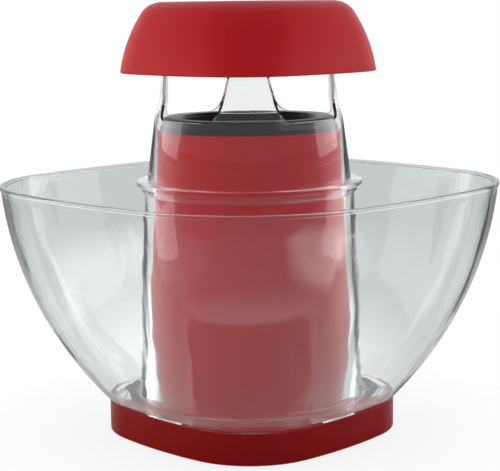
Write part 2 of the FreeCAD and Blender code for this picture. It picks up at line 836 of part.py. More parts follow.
def heating_coil():
    """Resistance wire wound round the four notched edges of the boards."""
    notch_bottom = duct_inner - d.mica_inset - d.coil_notch_depth
    inner_bend = d.coil_wire_radius * math.sqrt(2) + d.mica_thickness / 2
    reach = (notch_bottom + inner_bend + d.fit / 2).value
    rise = d.coil_pitch.value / CORNERS
    points = []
    for step in range(CORNERS * int(d.coil_turns.value)):
        angle = math.radians(QUARTER_TURN * step)
        level = coil_start().value + rise * step
        points.append(FreeCAD.Vector(reach * math.cos(angle), reach * math.sin(angle), level))
    path = Part.makePolygon(points)
    section = Part.Wire(Part.makeCircle(d.coil_wire_radius.value, points[0], points[1] - points[0]))
    sweep = Part.BRepOffsetAPI.MakePipeShell(path)
    sweep.setTransitionMode(1)
    sweep.add(section)
    sweep.build()
    sweep.makeSolid()
    coil = doc.addObject("Part::Feature", "heating_coil")
    coil.Label = "heating_coil"
    coil.Shape = sweep.shape()
    coil.Placement = FreeCAD.Placement()
    return coil


def thermostat():
    """Snap-disc cut-out, face to face with the duct's step, with two blade terminals."""
    body = new_body("thermostat", SIDE_ANGLE)
    place = (duct_radius + duct_wide) / 2
    disc(body, d.cutout_radius, duct_step - d.cutout_height, d.cutout_height, place)
    for side in (-1, 1):
        block(body, d.fuse_width / 4, d.duct_wall / 2, duct_step - d.cutout_height * 2, d.cutout_height,
              place, d.cutout_radius / 2 * side)
    return body


def thermal_fuse():
    """One-shot fuse in a square ceramic sleeve under the duct's step."""
    body = new_body("thermal_fuse", SIDE_ANGLE + HALF_TURN)
    place = (duct_radius + duct_wide) / 2
    block(body, d.fuse_width / 2, d.fuse_length / 2, duct_step - d.fuse_width, d.fuse_width, place)
    return body


def fan_housing():
    """Round blower housing on a flange, with a three-armed spider that carries the motor."""
    body = new_body("fan_housing", SIDE_ANGLE)
    wall = d.fan_housing_wall
    revolve(body, [
        (fan_housing_inner, flange_top),
        (fan_flange, flange_top),
        (fan_flange, flange_top + wall),
        (fan_housing_outer, flange_top + wall),
        (fan_housing_outer, fan_housing_top),
        (duct_mouth, fan_housing_top),
        (duct_mouth, fan_housing_top - wall),
        (fan_housing_inner, fan_housing_top - wall),
    ])
    arm = new_sketch(body, "XY_Plane", motor_top)
    half = d.spider_arm / 2
    draw_outline(arm, rectangle(d.motor_boss_radius * 2, -half, fan_housing_inner + wall / 2, half))
    polar(body, [pad(body, arm, d.spider_thickness)], d.spider_arms)
    disc(body, d.spider_hub, motor_top, d.spider_thickness)
    bore(body, d.motor_boss_radius + d.fit / 2, motor_top, d.spider_thickness)
    for side in (-1, 1):
        bore(body, d.screw_radius + d.fit, motor_top, d.spider_thickness, d.motor_screw_circle * side)
    boss = disc(body, boss_radius, flange_top, d.screw_length + wall, tower_screw_circle)
    polar(body, [boss], CORNERS)
    pilot = bore(body, pilot_radius, flange_top, d.screw_length, tower_screw_circle)
    polar(body, [pilot], CORNERS)
    seat = duct_radius + d.duct_rim / 2
    turn_x = seat * cosine(SIDE_ANGLE)
    drop = d.screw_length
    post = disc(body, boss_radius, fan_housing_top - drop, drop, turn_x, -turn_x)
    polar(body, [post], d.duct_screws)
    hole = bore(body, pilot_radius, fan_housing_top - drop, drop, turn_x, -turn_x)
    polar(body, [hole], d.duct_screws)
    return body


def motor_can():
    """Closed can with a boss that centres it in the spider and a bore for the shaft."""
    body = new_body("motor_can", SIDE_ANGLE)
    boss_top = motor_top + d.motor_boss_height
    shaft_bottom = motor_top - d.shaft_depth - d.fit
    hole = d.shaft_radius + d.shaft_clearance
    revolve(body, [
        (NONE, motor_bottom),
        (d.motor_radius, motor_bottom, d.motor_edge_radius),
        (d.motor_radius, motor_top, d.motor_edge_radius),
        (d.motor_boss_radius, motor_top),
        (d.motor_boss_radius, boss_top),
        (hole, boss_top),
        (hole, shaft_bottom),
        (NONE, shaft_bottom),
    ])
    for side in (-1, 1):
        bore(body, pilot_radius, motor_top - d.screw_length, d.screw_length, d.motor_screw_circle * side)
    return body


def motor_end_cap():
    """Moulded cap under the can, with two brush boxes."""
    body = new_body("motor_end_cap")
    edge = d.motor_radius - d.motor_edge_radius
    disc(body, edge, end_cap_bottom, d.end_cap_height)
    for side in (-1, 1):
        block(body, d.brush_box_reach, d.brush_box_width / 2, end_cap_bottom, d.end_cap_height, edge * side)
    return body


def rectifier_board():
    body = new_body("rectifier_board")
    disc(body, d.board_radius, board_bottom, d.board_thickness)
    return body


def rectifier_diodes():
    """Four diodes lying flat under the board, square to the radius."""
    body = new_body("rectifier_diodes", SIDE_ANGLE)
    half = d.diode_radius
    diode = block(body, half, d.diode_length / 2, board_bottom - half * 2, half * 2, d.diode_circle)
    polar(body, [diode], CORNERS)
    return body


def motor_shaft():
    body = new_body("motor_shaft")
    bottom = motor_top - d.shaft_depth
    disc(body, d.shaft_radius, bottom, clip_top + d.clip_thickness - bottom)
    return body


def fan_impeller():
    """Open blower wheel: curved blades hang from a round plate and a hub."""
    body = new_body("fan_impeller")
    disc(body, fan_radius, fan_plate_bottom, d.fan_plate)
    disc(body, d.fan_hub_radius, blade_bottom, d.blade_height)
    tip_x = fan_radius * cosine(d.blade_sweep)
    tip_y = fan_radius * sine(d.blade_sweep)
    slant_x = d.blade_thickness * sine(d.blade_sweep)
    slant_y = d.blade_thickness * cosine(d.blade_sweep)
    blade = new_sketch(body, "XY_Plane", blade_bottom)
    draw_outline(blade, [
        (d.blade_inner, NONE, None, d.blade_curve),
        (tip_x, tip_y),
        (tip_x - slant_x, tip_y + slant_y, None, -d.blade_curve),
        (d.blade_inner, d.blade_thickness),
    ])
    polar(body, [pad(body, blade, d.blade_height)], d.blades)
    bore(body, d.shaft_radius, blade_bottom, d.blade_height + d.fan_plate)
    return body


def fan_clip():
    body = new_body("fan_clip")
    disc(body, d.clip_radius, fan_plate_top, d.clip_thickness)
    bore(body, d.shaft_radius, fan_plate_top, d.clip_thickness)
    return body


def bowl_sections(inset, bottom, top):
    """Heights and half widths of the bowl's wall, whose side section is one arc."""
    out = d.bowl_rim_half_width - d.base_half_width
    chord = hypotenuse(out, d.bowl_height)
    depth = other_leg(d.bowl_wall_radius, chord / 2)
    centre_x = d.base_half_width + out / 2 - depth * d.bowl_height / chord
    centre_z = deck_top + d.bowl_height / 2 + depth * out / chord
    sections = []
    for step in range(BOWL_STEPS + 1):
        level = bottom + (top - bottom) * (step / BOWL_STEPS)
        sections.append((level, centre_x + other_leg(d.bowl_wall_radius - inset, level - centre_z)))
    return sections


def bowl():
    """Clear bowl: a rounded-square wall that flares in one arc, and a round tube in the middle."""
    body = new_body("bowl")
    floor_top = deck_top + d.bowl_wall
    loft(body, bowl_sections(NONE, deck_top, bowl_rim))
    bead = new_sketch(body, "XY_Plane", bowl_rim - d.bowl_bead_height)
    draw_rounded_square(bead, d.bowl_rim_half_width, -d.bowl_bead_step)
    pad(body, bead, d.bowl_bead_height)
    loft(body, bowl_sections(d.bowl_wall, floor_top, bowl_rim), "SubtractiveLoft")
    bead_bottom = tube_top - d.tube_bead_height
    revolve(body, [
        (tube_foot, deck_top),
        (tube_foot + d.tube_wall + d.tube_foot_bend * 2, deck_top),
        (tube_foot + d.tube_wall + d.tube_foot_bend * 2, floor_top),
        (tube_foot + d.tube_wall, floor_top, d.tube_foot_bend),
        (tube_rim + d.tube_wall, bead_bottom),
        (tube_bead, bead_bottom),
        (tube_bead, tube_top),
        (tube_rim, tube_top),
    ])
    bore_through = revolve(body, [
        (NONE, deck_top - d.fit),
        (tube_foot, deck_top - d.fit),
        (tube_foot, deck_top),
        (tube_rim, tube_top),
        (tube_rim, bowl_rim),
        (NONE, bowl_rim),
    ], "Groove")
    round_edges(body, bore_through, d.bowl_edge_radius, bowl_rim)
    return body


def chimney():
    """Clear ring that drops into the bowl's tube: skirt, four pillars and the windows between."""
    body = new_body("chimney", SIDE_ANGLE)
    wall = d.chimney_wall
    lip = tube_rim - d.fit
    revolve(body, [
        (lip - wall, tube_top - d.chimney_lip_height),
        (lip, tube_top - d.chimney_lip_height),
        (lip, tube_top),
        (tube_bead + d.chimney_flange_overhang, tube_top),
        (tube_bead + d.chimney_flange_overhang, chimney_foot_top),
        (skirt_foot, chimney_foot_top),
        (skirt_top, sill, d.skirt_bend),
        (pillar_foot_radius, pillar_foot, d.skirt_bend),
        (pillar_top_radius, window_top),
        (pillar_top_radius, chimney_top),
        (pillar_top_radius - wall, chimney_top),
        (pillar_top_radius - wall, window_top),
        (pillar_foot_radius - wall, pillar_foot, d.skirt_bend),
        (skirt_top - wall, sill, d.skirt_bend),
        (skirt_foot - wall, chimney_foot_top),
    ])
    window = new_sketch(body, "XZ_Plane")
    draw_outline(window, [
        (-d.window_foot_half, sill, d.window_corner),
        (d.window_foot_half, sill, d.window_corner),
        (d.window_top_half, window_top, d.window_corner / 2),
        (-d.window_top_half, window_top, d.window_corner / 2),
    ])
    polar(body, [cut(body, window, skirt_foot)], CORNERS)
    return body


def cap_sections(inset):
    """Heights and half widths of the cap: a long side arc, then a tight shoulder arc to the top."""
    side = d.cap_side_radius - inset
    shoulder = d.cap_shoulder_radius - inset
    axis_z = cap_bottom - d.cap_side_drop
    axis_x = d.cap_half_width - other_leg(d.cap_side_radius, d.cap_side_drop)
    shoulder_z = cap_top - d.cap_shoulder_radius - axis_z
    shoulder_x = axis_x + other_leg(side - shoulder, shoulder_z)
    first = arc_sine(d.cap_side_drop / side)
    last = arc_sine(shoulder_z / (side - shoulder))
    sections = []
    for share in (0.0, 1 / 3, 2 / 3, 1.0):
        angle = first + (last - first) * share
        sections.append((axis_z + side * sine(angle), axis_x + side * cosine(angle)))
    for share in (1 / 3, 2 / 3, 1.0):
        angle = last + (as_size(QUARTER_TURN) - last) * share
        sections.append((axis_z + shoulder_z + shoulder * sine(angle), shoulder_x + shoulder * cosine(angle)))
    return sections


def cap_inner_half_width(level):
    side = d.cap_side_radius - d.cap_wall
    axis_z = cap_bottom - d.cap_side_drop
    axis_x = d.cap_half_width - other_leg(d.cap_side_radius, d.cap_side_drop)
    return axis_x + other_leg(side, level - axis_z)


def cap_shell():
    body = new_body("cap_shell")
    loft(body, cap_sections(NONE))
    loft(body, cap_sections(d.cap_wall), "SubtractiveLoft")
    boss = disc(body, boss_radius, deflector_top, cap_top - d.cap_wall / 2 - deflector_top, cap_boss_circle)
    polar(body, [boss], CORNERS)
    pilot = bore(body, pilot_radius, deflector_top, d.screw_length, cap_boss_circle)
    polar(body, [pilot], CORNERS)
    return body


def deflector():
    """Liner inside the cap: a plate with a hanging dome, and a ring that centres on the chimney."""
    body = new_body("deflector")
    plate = new_sketch(body, "XY_Plane", chimney_top)
    draw_rounded_square(plate, cap_inner_half_width(deflector_top) - d.fit)
    pad(body, plate, d.deflector_thickness)
    ring_inner = pillar_top_radius + d.fit
    ring = new_sketch(body, "XY_Plane", chimney_top - d.deflector_ring_height)
    draw_circle(ring, ring_inner + d.deflector_ring_wall)
    draw_circle(ring, ring_inner)
    pad(body, ring, d.deflector_ring_height)
    depth = d.deflector_dome_depth
    sphere = (d.deflector_dome_radius * d.deflector_dome_radius + depth * depth) / (depth * 2)
    revolve(body, [
        (NONE, chimney_top - depth, None, sphere),
        (d.deflector_dome_radius, chimney_top),
        (NONE, chimney_top),
    ])
    revolve(body, [
        (NONE, deflector_top - depth, None, sphere),
        (d.deflector_dome_radius, deflector_top),
        (NONE, deflector_top),
    ], "Groove")
    hole = bore(body, d.screw_radius + d.fit, chimney_top, d.deflector_thickness, cap_boss_circle)
    polar(body, [hole], CORNERS)
    return body


def switch_frame():
    """Case of the rocker switch: a lip outside the wall and a box behind it, open in front."""
    body = new_body("switch_frame", SWITCH_ANGLE)
    seat = d.base_half_width - d.seat_depth
    middle = d.side_fitting_height
    half_width = d.switch_half_width
    half_height = d.switch_half_height
    lip = new_sketch(body, "YZ_Plane", seat)
    draw_outline(lip, rectangle(-half_width, middle - half_height, half_width, middle + half_height))
    pad(body, lip, d.switch_lip)
    half_width = d.switch_half_width - d.switch_bezel
    half_height = d.switch_half_height - d.switch_bezel
    case = new_sketch(body, "YZ_Plane", seat - d.switch_depth)
    draw_outline(case, rectangle(-half_width, middle - half_height, half_width, middle + half_height))
    pad(body, case, d.switch_depth)
    half_width = hypotenuse(d.rocker_half_width, d.rocker_rise) + d.rocker_gap
    half_height = d.rocker_half_height + d.rocker_gap
    depth = d.rocker_heel + d.rocker_well_room
    well = new_sketch(body, "YZ_Plane", seat - depth)
    draw_outline(well, rectangle(-half_width, middle - half_height, half_width, middle + half_height))
    cut(body, well, depth + d.switch_lip)
    reach = d.rocker_half_height + d.rocker_pivot_length + d.rocker_gap
    bore(body, d.rocker_pivot_radius + d.shaft_clearance, middle - reach, reach * 2, seat - d.switch_bezel)
    return body


def switch_rocker():
    """Rocker with a dipped face on two short trunnions, tilted to its off position."""
    body = new_body("switch_rocker")
    turn = FreeCAD.Rotation(FreeCAD.Vector(0, 0, 1), SWITCH_ANGLE - d.rocker_tilt.value)
    body.Placement = FreeCAD.Placement(FreeCAD.Vector(), turn)
    pivot = d.base_half_width - d.seat_depth - d.switch_bezel
    body.setExpression("Placement.Base.x", (pivot * cosine(SWITCH_ANGLE)).text)
    body.setExpression("Placement.Base.y", (pivot * sine(SWITCH_ANGLE)).text)
    half = d.rocker_half_width
    face = new_sketch(body, "XY_Plane", d.side_fitting_height - d.rocker_half_height)
    draw_outline(face, [
        (d.rocker_rise, -half),
        (d.rocker_dip, NONE),
        (d.rocker_rise, half),
        (-d.rocker_dip, half),
        (-d.rocker_heel, half / 2),
        (-d.rocker_heel, -half / 2),
        (-d.rocker_dip, -half),
    ])
    pad(body, face, d.rocker_half_height * 2)
    reach = d.rocker_half_height + d.rocker_pivot_length
    disc(body, d.rocker_pivot_radius, d.side_fitting_height - reach, reach * 2)
    return body


def cord_gland():
    """Bush for the cord: an outside lip, a neck through the wall and a nut behind it."""
    body = new_body("cord_gland", GLAND_ANGLE)
    seat = d.base_half_width - d.seat_depth
    inside = d.base_half_width - d.base_wall - d.fit
    nut = new_sketch(body, "YZ_Plane", inside - d.gland_nut)
    draw_circle(nut, d.gland_radius, NONE, d.side_fitting_height)
    pad(body, nut, d.gland_nut)
    neck = new_sketch(body, "YZ_Plane", inside)
    draw_circle(neck, d.gland_neck_radius, NONE, d.side_fitting_height)
    pad(body, neck, seat - inside)
    lip = new_sketch(body, "YZ_Plane", seat)
    draw_circle(lip, d.gland_radius, NONE, d.side_fitting_height)
    pad(body, lip, d.gland_lip)
    hole = new_sketch(body, "YZ_Plane", inside - d.gland_nut)
    draw_circle(hole, d.gland_bore_radius, NONE, d.side_fitting_height)
    cut(body, hole, seat + d.gland_lip - inside + d.gland_nut)
    return body


def build():
    duct_screw_circle = duct_radius + d.duct_rim / 2
    return [
        base_housing(), bottom_cover(), rubber_feet(), tower_housing(), collar(), popping_chamber(),
        heater_duct(), duct_gasket(),
        mica_board("mica_board_wide", 0.0, 0.0, True),
        mica_board("mica_board_cross", QUARTER_TURN, 0.25, False),
        heating_coil(), thermostat(), thermal_fuse(), fan_housing(), motor_can(), motor_end_cap(),
        rectifier_board(), rectifier_diodes(), motor_shaft(), fan_impeller(), fan_clip(),
        bowl(), chimney(), cap_shell(), deflector(), switch_frame(), switch_rocker(), cord_gland(),
        screw_group("cover_screws", d.cover_screw_circle, d.foot_height + d.screw_head_height, CORNERS),
        screw_group("tower_screws", tower_screw_circle, deck_under, CORNERS, SIDE_ANGLE,
                    d.screw_length + d.base_wall),
        screw_group("collar_screws", collar_screw_circle, ledge_under, CORNERS, SIDE_ANGLE,
                    d.tower_flange + d.collar_pilot_depth - d.screw_tip_room),
        screw_group("duct_screws", duct_screw_circle, fan_housing_top + d.duct_wall, d.duct_screws,
                    0.0, d.screw_length, False),
        screw_group("motor_screws", d.motor_screw_circle, spider_top, MOTOR_SCREWS, SIDE_ANGLE,
                    d.screw_length, False),
        screw_group("cap_screws", cap_boss_circle, chimney_top, CORNERS),
    ]


def check(pieces):
    """Stop before anything is written if an object failed or a piece is not a sound solid."""
    for item in doc.Objects:
        if "Invalid" in item.State or "Error" in item.State:
            raise RuntimeError(f"{item.Name} failed to build")
    for piece in pieces:
        if piece.Shape.isNull() or not piece.Shape.isValid() or not piece.Shape.Solids:
            raise RuntimeError(f"{piece.Label} is not a sound solid")


pieces = build()
doc.recompute()
check(pieces)
os.makedirs("parts", exist_ok=True)
for piece in pieces:
    piece.Shape.exportStep(f"parts/{piece.Label}.step")
    box = piece.Shape.BoundBox
    print(f"{piece.Label:18s} solids {len(piece.Shape.Solids)} volume {piece.Shape.Volume:10.1f} "
          f"z {box.ZMin:7.2f} to {box.ZMax:7.2f} x {box.XMin:7.2f} to {box.XMax:7.2f}")
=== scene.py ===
"""Hot-air popcorn maker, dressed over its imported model.

Metres, +Z up. The base, bowl and cap are rounded squares in plan that stand corner-on: their corners
point along X and Y, and the front corner points along -Y, towards the camera.
"""

import math

import bmesh
import bpy
from mathutils import Euler, Matrix, Vector


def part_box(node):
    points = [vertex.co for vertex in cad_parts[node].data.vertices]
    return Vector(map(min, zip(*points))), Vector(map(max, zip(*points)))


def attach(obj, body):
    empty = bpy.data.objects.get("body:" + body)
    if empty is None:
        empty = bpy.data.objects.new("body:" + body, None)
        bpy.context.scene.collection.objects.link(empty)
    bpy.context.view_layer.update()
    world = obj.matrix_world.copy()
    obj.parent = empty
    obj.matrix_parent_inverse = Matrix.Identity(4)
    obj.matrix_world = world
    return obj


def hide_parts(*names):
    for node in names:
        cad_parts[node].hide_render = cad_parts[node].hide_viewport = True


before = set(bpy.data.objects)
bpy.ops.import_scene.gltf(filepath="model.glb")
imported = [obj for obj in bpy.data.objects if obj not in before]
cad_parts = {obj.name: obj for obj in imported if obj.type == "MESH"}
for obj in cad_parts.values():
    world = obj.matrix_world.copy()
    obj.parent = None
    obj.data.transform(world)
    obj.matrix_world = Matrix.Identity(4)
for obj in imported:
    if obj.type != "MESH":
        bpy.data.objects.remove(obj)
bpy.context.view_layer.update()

MM = 0.001
FULL_TURN = 2 * math.pi
QUARTER_TURN = math.pi / 2
EIGHTH_TURN = math.pi / 4
QUARTERS = 4

# The rounded-square family: radii as shares of the half width across the flat sides
CORNER_SHARE = 0.647
SIDE_SHARE = 3.24
ROUND = 0.0  # squareness of a point that runs on a circle
SQUARE = 1.0  # and of one that runs on the rounded square

# Sections of the turned shells and the chimney, in millimetres
SEAT_GAP = 0.2  # clear plastic stands this far off what it rests on
BOWL_FOOT = 89.6
BOWL_RIM = 153.2
BOWL_WALL = 2.8
BOWL_WALL_RADIUS = 259.0
BOWL_BEAD = (0.6, 2.4)  # how far the rim's bead stands out, and its height
TUBE_FOOT = 74.5
TUBE_RIM = 69.6
TUBE_WALL = 2.6
TUBE_DROP = 2.0  # the tube ends this far under the bowl's rim
TUBE_BEAD = (74.4, 4.0)
TOWER_RADIUS = 62.8
CHIMNEY_WALL = 2.4
CHIMNEY_LIP = 6.0
CHIMNEY_FLANGE = 3.0
CHIMNEY_RING = 10.0
CHIMNEY_BEND = 26.0
SKIRT_FLARE = 7.6  # the skirt's foot stands this far outside the tower's radius
WAIST_FLARE = 1.8  # the sill stands this far outside it, and the pillars' foot as far inside
WAIST_RISE = 10.0  # height of the pillars' foot over the sill
TOP_TAPER = 4.2  # the top ring lies this far inside the tower's radius
LIP_PLAY = 0.3
SILL_DROP = 0.5  # the windows' sills lie this far under the collar's top
WINDOW_FOOT = 26.0
WINDOW_TOP = 31.5
WINDOW_CORNERS = (8.0, 4.0)  # radii of a window's lower and upper corners
ROW_GAP = 0.05  # rows closer to a window's ends than this are left out
CAP_HALF_WIDTH = 78.4
CAP_SIDE_RADIUS = 105.0
CAP_SIDE_DROP = 13.0  # the side arc's centre lies this far under the cap's edge
CAP_SHOULDER = 15.0
CAP_WALL = 2.4
CAP_BOSS = (4.1, 1.35, 9.0)  # radius of the cap's screw posts, and radius and depth of their holes

# Roundings of edges, in millimetres
HOLE_EDGE = 0.2
STEM_EDGE = 0.3
FINE_EDGE = 0.4
SOFT_EDGE = 0.6
PAD_EDGE = 0.7
BROAD_EDGE = 0.8
RIM_EDGE = 0.9
FLOOR_BEND = 1.2  # between the bowl's floor and its wall
TUBE_BEND = 6.0  # between the bowl's floor and its tube
CHIMNEY_EDGE = 0.5

# How finely curves are divided
SHELL_SEGMENTS = 240
POST_SEGMENTS = 36
FOOT_SEGMENTS = 48
WALL_STEPS = 28
SHOULDER_STEPS = 14
FLANK_STEPS = 20
CROWN_SHARES = (0.0, 0.25, 0.5, 0.75, 0.97)  # where points lie across the cap's flat top
SIDE_SHARES = (0.25, 0.5, 0.75)  # and along a window's straight side
BEND_STEPS = 8  # in each bend of the chimney and each corner of its windows
PILLAR_STEPS = 12
WINDOW_STEPS = 12
QUARTER_STEPS = PILLAR_STEPS + WINDOW_STEPS
EDGE_STEPS = 3  # in the chimney's softened edges
RING_STEPS = 40
SMALL_ROUNDING = {"steps": 3, "support": 0.1}
SEAM_GAP = 0.01  # points closer than this become one where a turned shell closes
WELD_GAP = 0.005  # and anywhere else
HARD_EDGE = math.radians(50)  # the chimney's edges are softened where they turn more than this
SHARP_EDGE = math.radians(40)  # and a screw's edges shade as sharp

# Screws, feet and switch, in millimetres
SCREW_HEAD = (2.95, 1.5)  # radius and height of a pan head
HEAD_DOME = ((1.0, 0.4), (0.95, 0.7), (0.84, 0.92), (0.7, 1.0))  # its outline as shares of both
SCREW_SHANK = 1.32
SCREW_TIP = 0.5  # radius of the shank's end, as a share
CROSS_REACH = 1.7
CROSS_HALF_WIDTH = 0.42
CROSS_DEPTH = 0.9
CROSS_TAPER = 0.6  # the cross is this much smaller at its bottom
ARM_POINTS = 3  # points of the cross to an arm
RIM_POINTS = 7  # points of the head's rim to a quarter
RIM_SPANS = ((0, 1), (1, 4), (4, 7))  # first and last rim point that faces each edge of an arm
RIM_SPREAD = 0.16  # half the angle of a head's rim that faces an arm's end
SCREW_RINGS = {  # node: (count, circle radius, first turn, head at the bottom, body)
    "cover_screws": (4, 82.0, 0.0, True, "base"),
    "tower_screws": (4, 61.1, EIGHTH_TURN, True, "base"),
    "collar_screws": (4, 56.5, EIGHTH_TURN, True, "base"),
    "duct_screws": (3, 44.1, 0.0, False, "base"),
    "motor_screws": (2, 9.0, EIGHTH_TURN, False, "base"),
    "cap_screws": (4, 52.3, 0.0, True, "cap"),
}
FOOT_CIRCLE = 64.0
FOOT_RADIUS = 8.0
FOOT_HEIGHT = 2.0
FOOT_STEM = 3.0
FOOT_DIMPLE = (4.6, 0.5)  # radius and depth of the suction dimple
ROCKER_PIVOT = (61.73, 61.73, 11.6)
ROCKER_TURN = math.radians(45 - 7)  # its side of the base faces 45 degrees, and at rest it is tipped by 7
ROCKER_DIP = 2.1  # its face stands this far off the pivot in the middle,
ROCKER_END = 3.4  # this far at its ends,
ROCKER_HALF_LENGTH = 7.7  # and these lie this far from the middle
ROCKER_SLOPE = (ROCKER_END - ROCKER_DIP) / ROCKER_HALF_LENGTH
MARK_OFFSET = 4.4  # how far each mark lies from the rocker's middle
MARK_LIFT = 0.03
MARK_DEPTH = 0.08  # the print is this thick, most of it sunk in the rocker's face
MARK_STROKE = 0.6
MARK_HALF_HEIGHT = 1.5

# Tones
DECK_EDGE = 0.6  # the sides' painted shade gives way to the deck's painted light over this height, in millimetres
# Painted light and shade: the base is one red moulding, given a darker red on its sides and a lighter one on
# its deck
SHADED_SIDE_RED = (126, 6, 9)
LIT_DECK_RED = (196, 48, 54)
CAP_RED = (181, 19, 25)
# Painted light: the tower is given a lighter red than the cap, though both are one red, to brighten it behind
# the clear walls
LIT_TOWER_RED = (210, 32, 39)
PLAIN_CLEAR = (0.985, 0.99, 0.988, 1.0)
FAR_WALL_PAINTED_SHADE = (0.57, 0.615, 0.61, 1.0)  # painted shade: what a clear wall turned away from the eye lets through
TURNED_AWAY = 0.2  # the painted shade comes in over this cosine to each side of edge-on
PAINTED_SHADE_STARTS = 88.0  # and from this radius, outside the tube,
PAINTED_SHADE_FULL = 125.0  # to this one, in millimetres
DRIFT_SCALE = 14.0  # waves of the slow drift to a metre
DRIFT_TONE = 2.0  # how far it moves the tone
DRIFT_POLISH = 1.5  # and the polish
GRAIN_POLISH = 0.06  # how far the grain moves the polish
CLOUD_SCALE = 30.0  # waves of the clouding in metal to a metre
CLOUD_TONE = 0.2  # and how far it moves the tone
RIPPLE_SCALE = 26.0  # waves of the clear plastic's ripple to a metre
RIPPLE_DEPTH = 0.9  # and their depth in millimetres
LINE_DEPTH = 0.004  # depth of the lines in metal, in millimetres
ROUND_THE_AXIS = (0.03, 0.03, 1.0)
ALONG_THE_AXIS = (1.0, 1.0, 0.03)
METALS = {  # node: (finish, colour, polish, line size in millimetres, direction, change in tone)
    "popping_chamber": ("drawn_aluminium", (222, 224, 227), 0.36, 0.3, ROUND_THE_AXIS, 0.08),
    "heater_duct": ("rolled_steel", (176, 178, 182), 0.34, 0.5, ALONG_THE_AXIS, 0.2),
    "heating_coil": ("resistance_wire", (120, 108, 98), 0.45, 0.2, ALONG_THE_AXIS, 0.2),
    "motor_can": ("plated_steel", (190, 186, 176), 0.3, 0.4, ALONG_THE_AXIS, 0.2),
    "motor_shaft": ("ground_steel", (205, 207, 210), 0.2, 0.15, ROUND_THE_AXIS, 0.2),
    "fan_clip": ("spring_steel", (96, 98, 104), 0.36, 0.3, ROUND_THE_AXIS, 0.2),
}
SCREW_STEEL = ("screw_steel", (172, 174, 178), 0.3, 0.3, ROUND_THE_AXIS, 0.2)
MOULDINGS = {  # node: (finish, colour, polish, grain size and depth in millimetres, drift in tone)
    "duct_gasket": ("silicone_gasket", (196, 92, 62), 0.6, 0.9, 0.05, 0.1),
    "mica_board_wide": ("mica_sheet", (186, 160, 112), 0.42, 2.4, 0.03, 0.5),
    "thermostat": ("white_ceramic", (228, 224, 214), 0.35, 0.8, 0.01, 0.1),
    "rectifier_board": ("board_lacquer", (28, 92, 56), 0.3, 1.2, 0.01, 0.2),
    "fan_impeller": ("pale_fan_plastic", (224, 222, 212), 0.4, 0.8, 0.02, 0.1),
    "rubber_feet": ("foot_rubber", (38, 38, 40), 0.75, 0.5, 0.06, 0.2),
}
BLACK_MOULDING = ("black_moulding", (24, 25, 27), 0.38, 0.6, 0.02, 0.2)
WHITE_PRINT = ("white_print", (222, 222, 218), 0.55, 0.3, 0.004, 0.1)

# Light. A span in the room is a run of the heading: X to the right, Y away from the camera, Z up
ROOM_SPAN = (0.0, 0.9)
ROOM_LIGHT = (0.52, 0.24)  # brightness of the room as it lights a surface: level with it, and from above
MIRROR_SPAN = (-0.2, 0.5)
MIRROR_LIGHT = (0.4, 1.0)  # its brightness in reflections: on the camera's side, and on the far side
OVERHEAD_SPAN = (0.75, 0.95)
OVERHEAD_LIGHT = 1.4  # what is added to that overhead
CARD_SPAN = (0.55, 0.75)
CARD_FOOT = (0.22, 0.34)
CARD_TOP = (0.6, 0.75)
CARD_LIGHT = (3.0, 0.5)  # brightness of the cards that show in clear walls: right, and left
ROOM_COLOUR = (0.96, 0.98, 1.0, 1.0)
WHITE = (1.0, 1.0, 1.0, 1.0)
FLOOR_HALF_WIDTH = 6.0  # metres, as are the floor's spans
SHADOW_SPAN = (0.1, 0.22)  # the object's shadow fades over this distance from the axis
SHADOW_COVER = 0.85  # the floor is plain white by this share even under the object
FLOOR_SPAN = (0.25, 0.8)
FLOOR_MIRRORED = (0.4, 0.12)  # tone of the floor in reflections: near the object, and further out
FLOOR_SEEN = 0.95  # its tone as the camera sees it
FLOOR_BOUNCE = 0.85  # its tone as it lights the object
LAMPS = (  # name, place, aim, size, power in watts, whether its shape shows through clear pieces
    ("left_lamp", (-1.5, -0.5, 0.2), (0, 0, 0.2), (2.0, 1.0), 19.0, False),
    ("right_lamp", (1.5, -0.5, 0.25), (0, 0, 0.2), (2.0, 1.0), 14.0, False),
    ("top_lamp", (0.0, 0.3, 1.9), (0, 0, 0.1), (1.6, 1.6), 3.0, False),
    ("side_panel", (-1.4, 0.45, 0.45), (0, 0, 0.2), (1.0, 0.8), 5.0, True),
    ("side_panel", (1.4, 0.45, 0.45), (0, 0, 0.2), (1.0, 0.8), 5.0, True),
)

# The photograph's camera
CAMERA_PLACE = (0.0, -0.985, 0.2937)
CAMERA_LENS = 103.1
CAMERA_PITCH = 0.1585
CAMERA_ROLL = -0.0113


def paint(red, green, blue):
    """A colour written as on a swatch, 0 to 255, turned into the light values that shaders take."""
    def light(value):
        share = value / 255
        return share / 12.92 if share <= 0.04045 else ((share + 0.055) / 1.055) ** 2.4
    return (light(red), light(green), light(blue), 1.0)


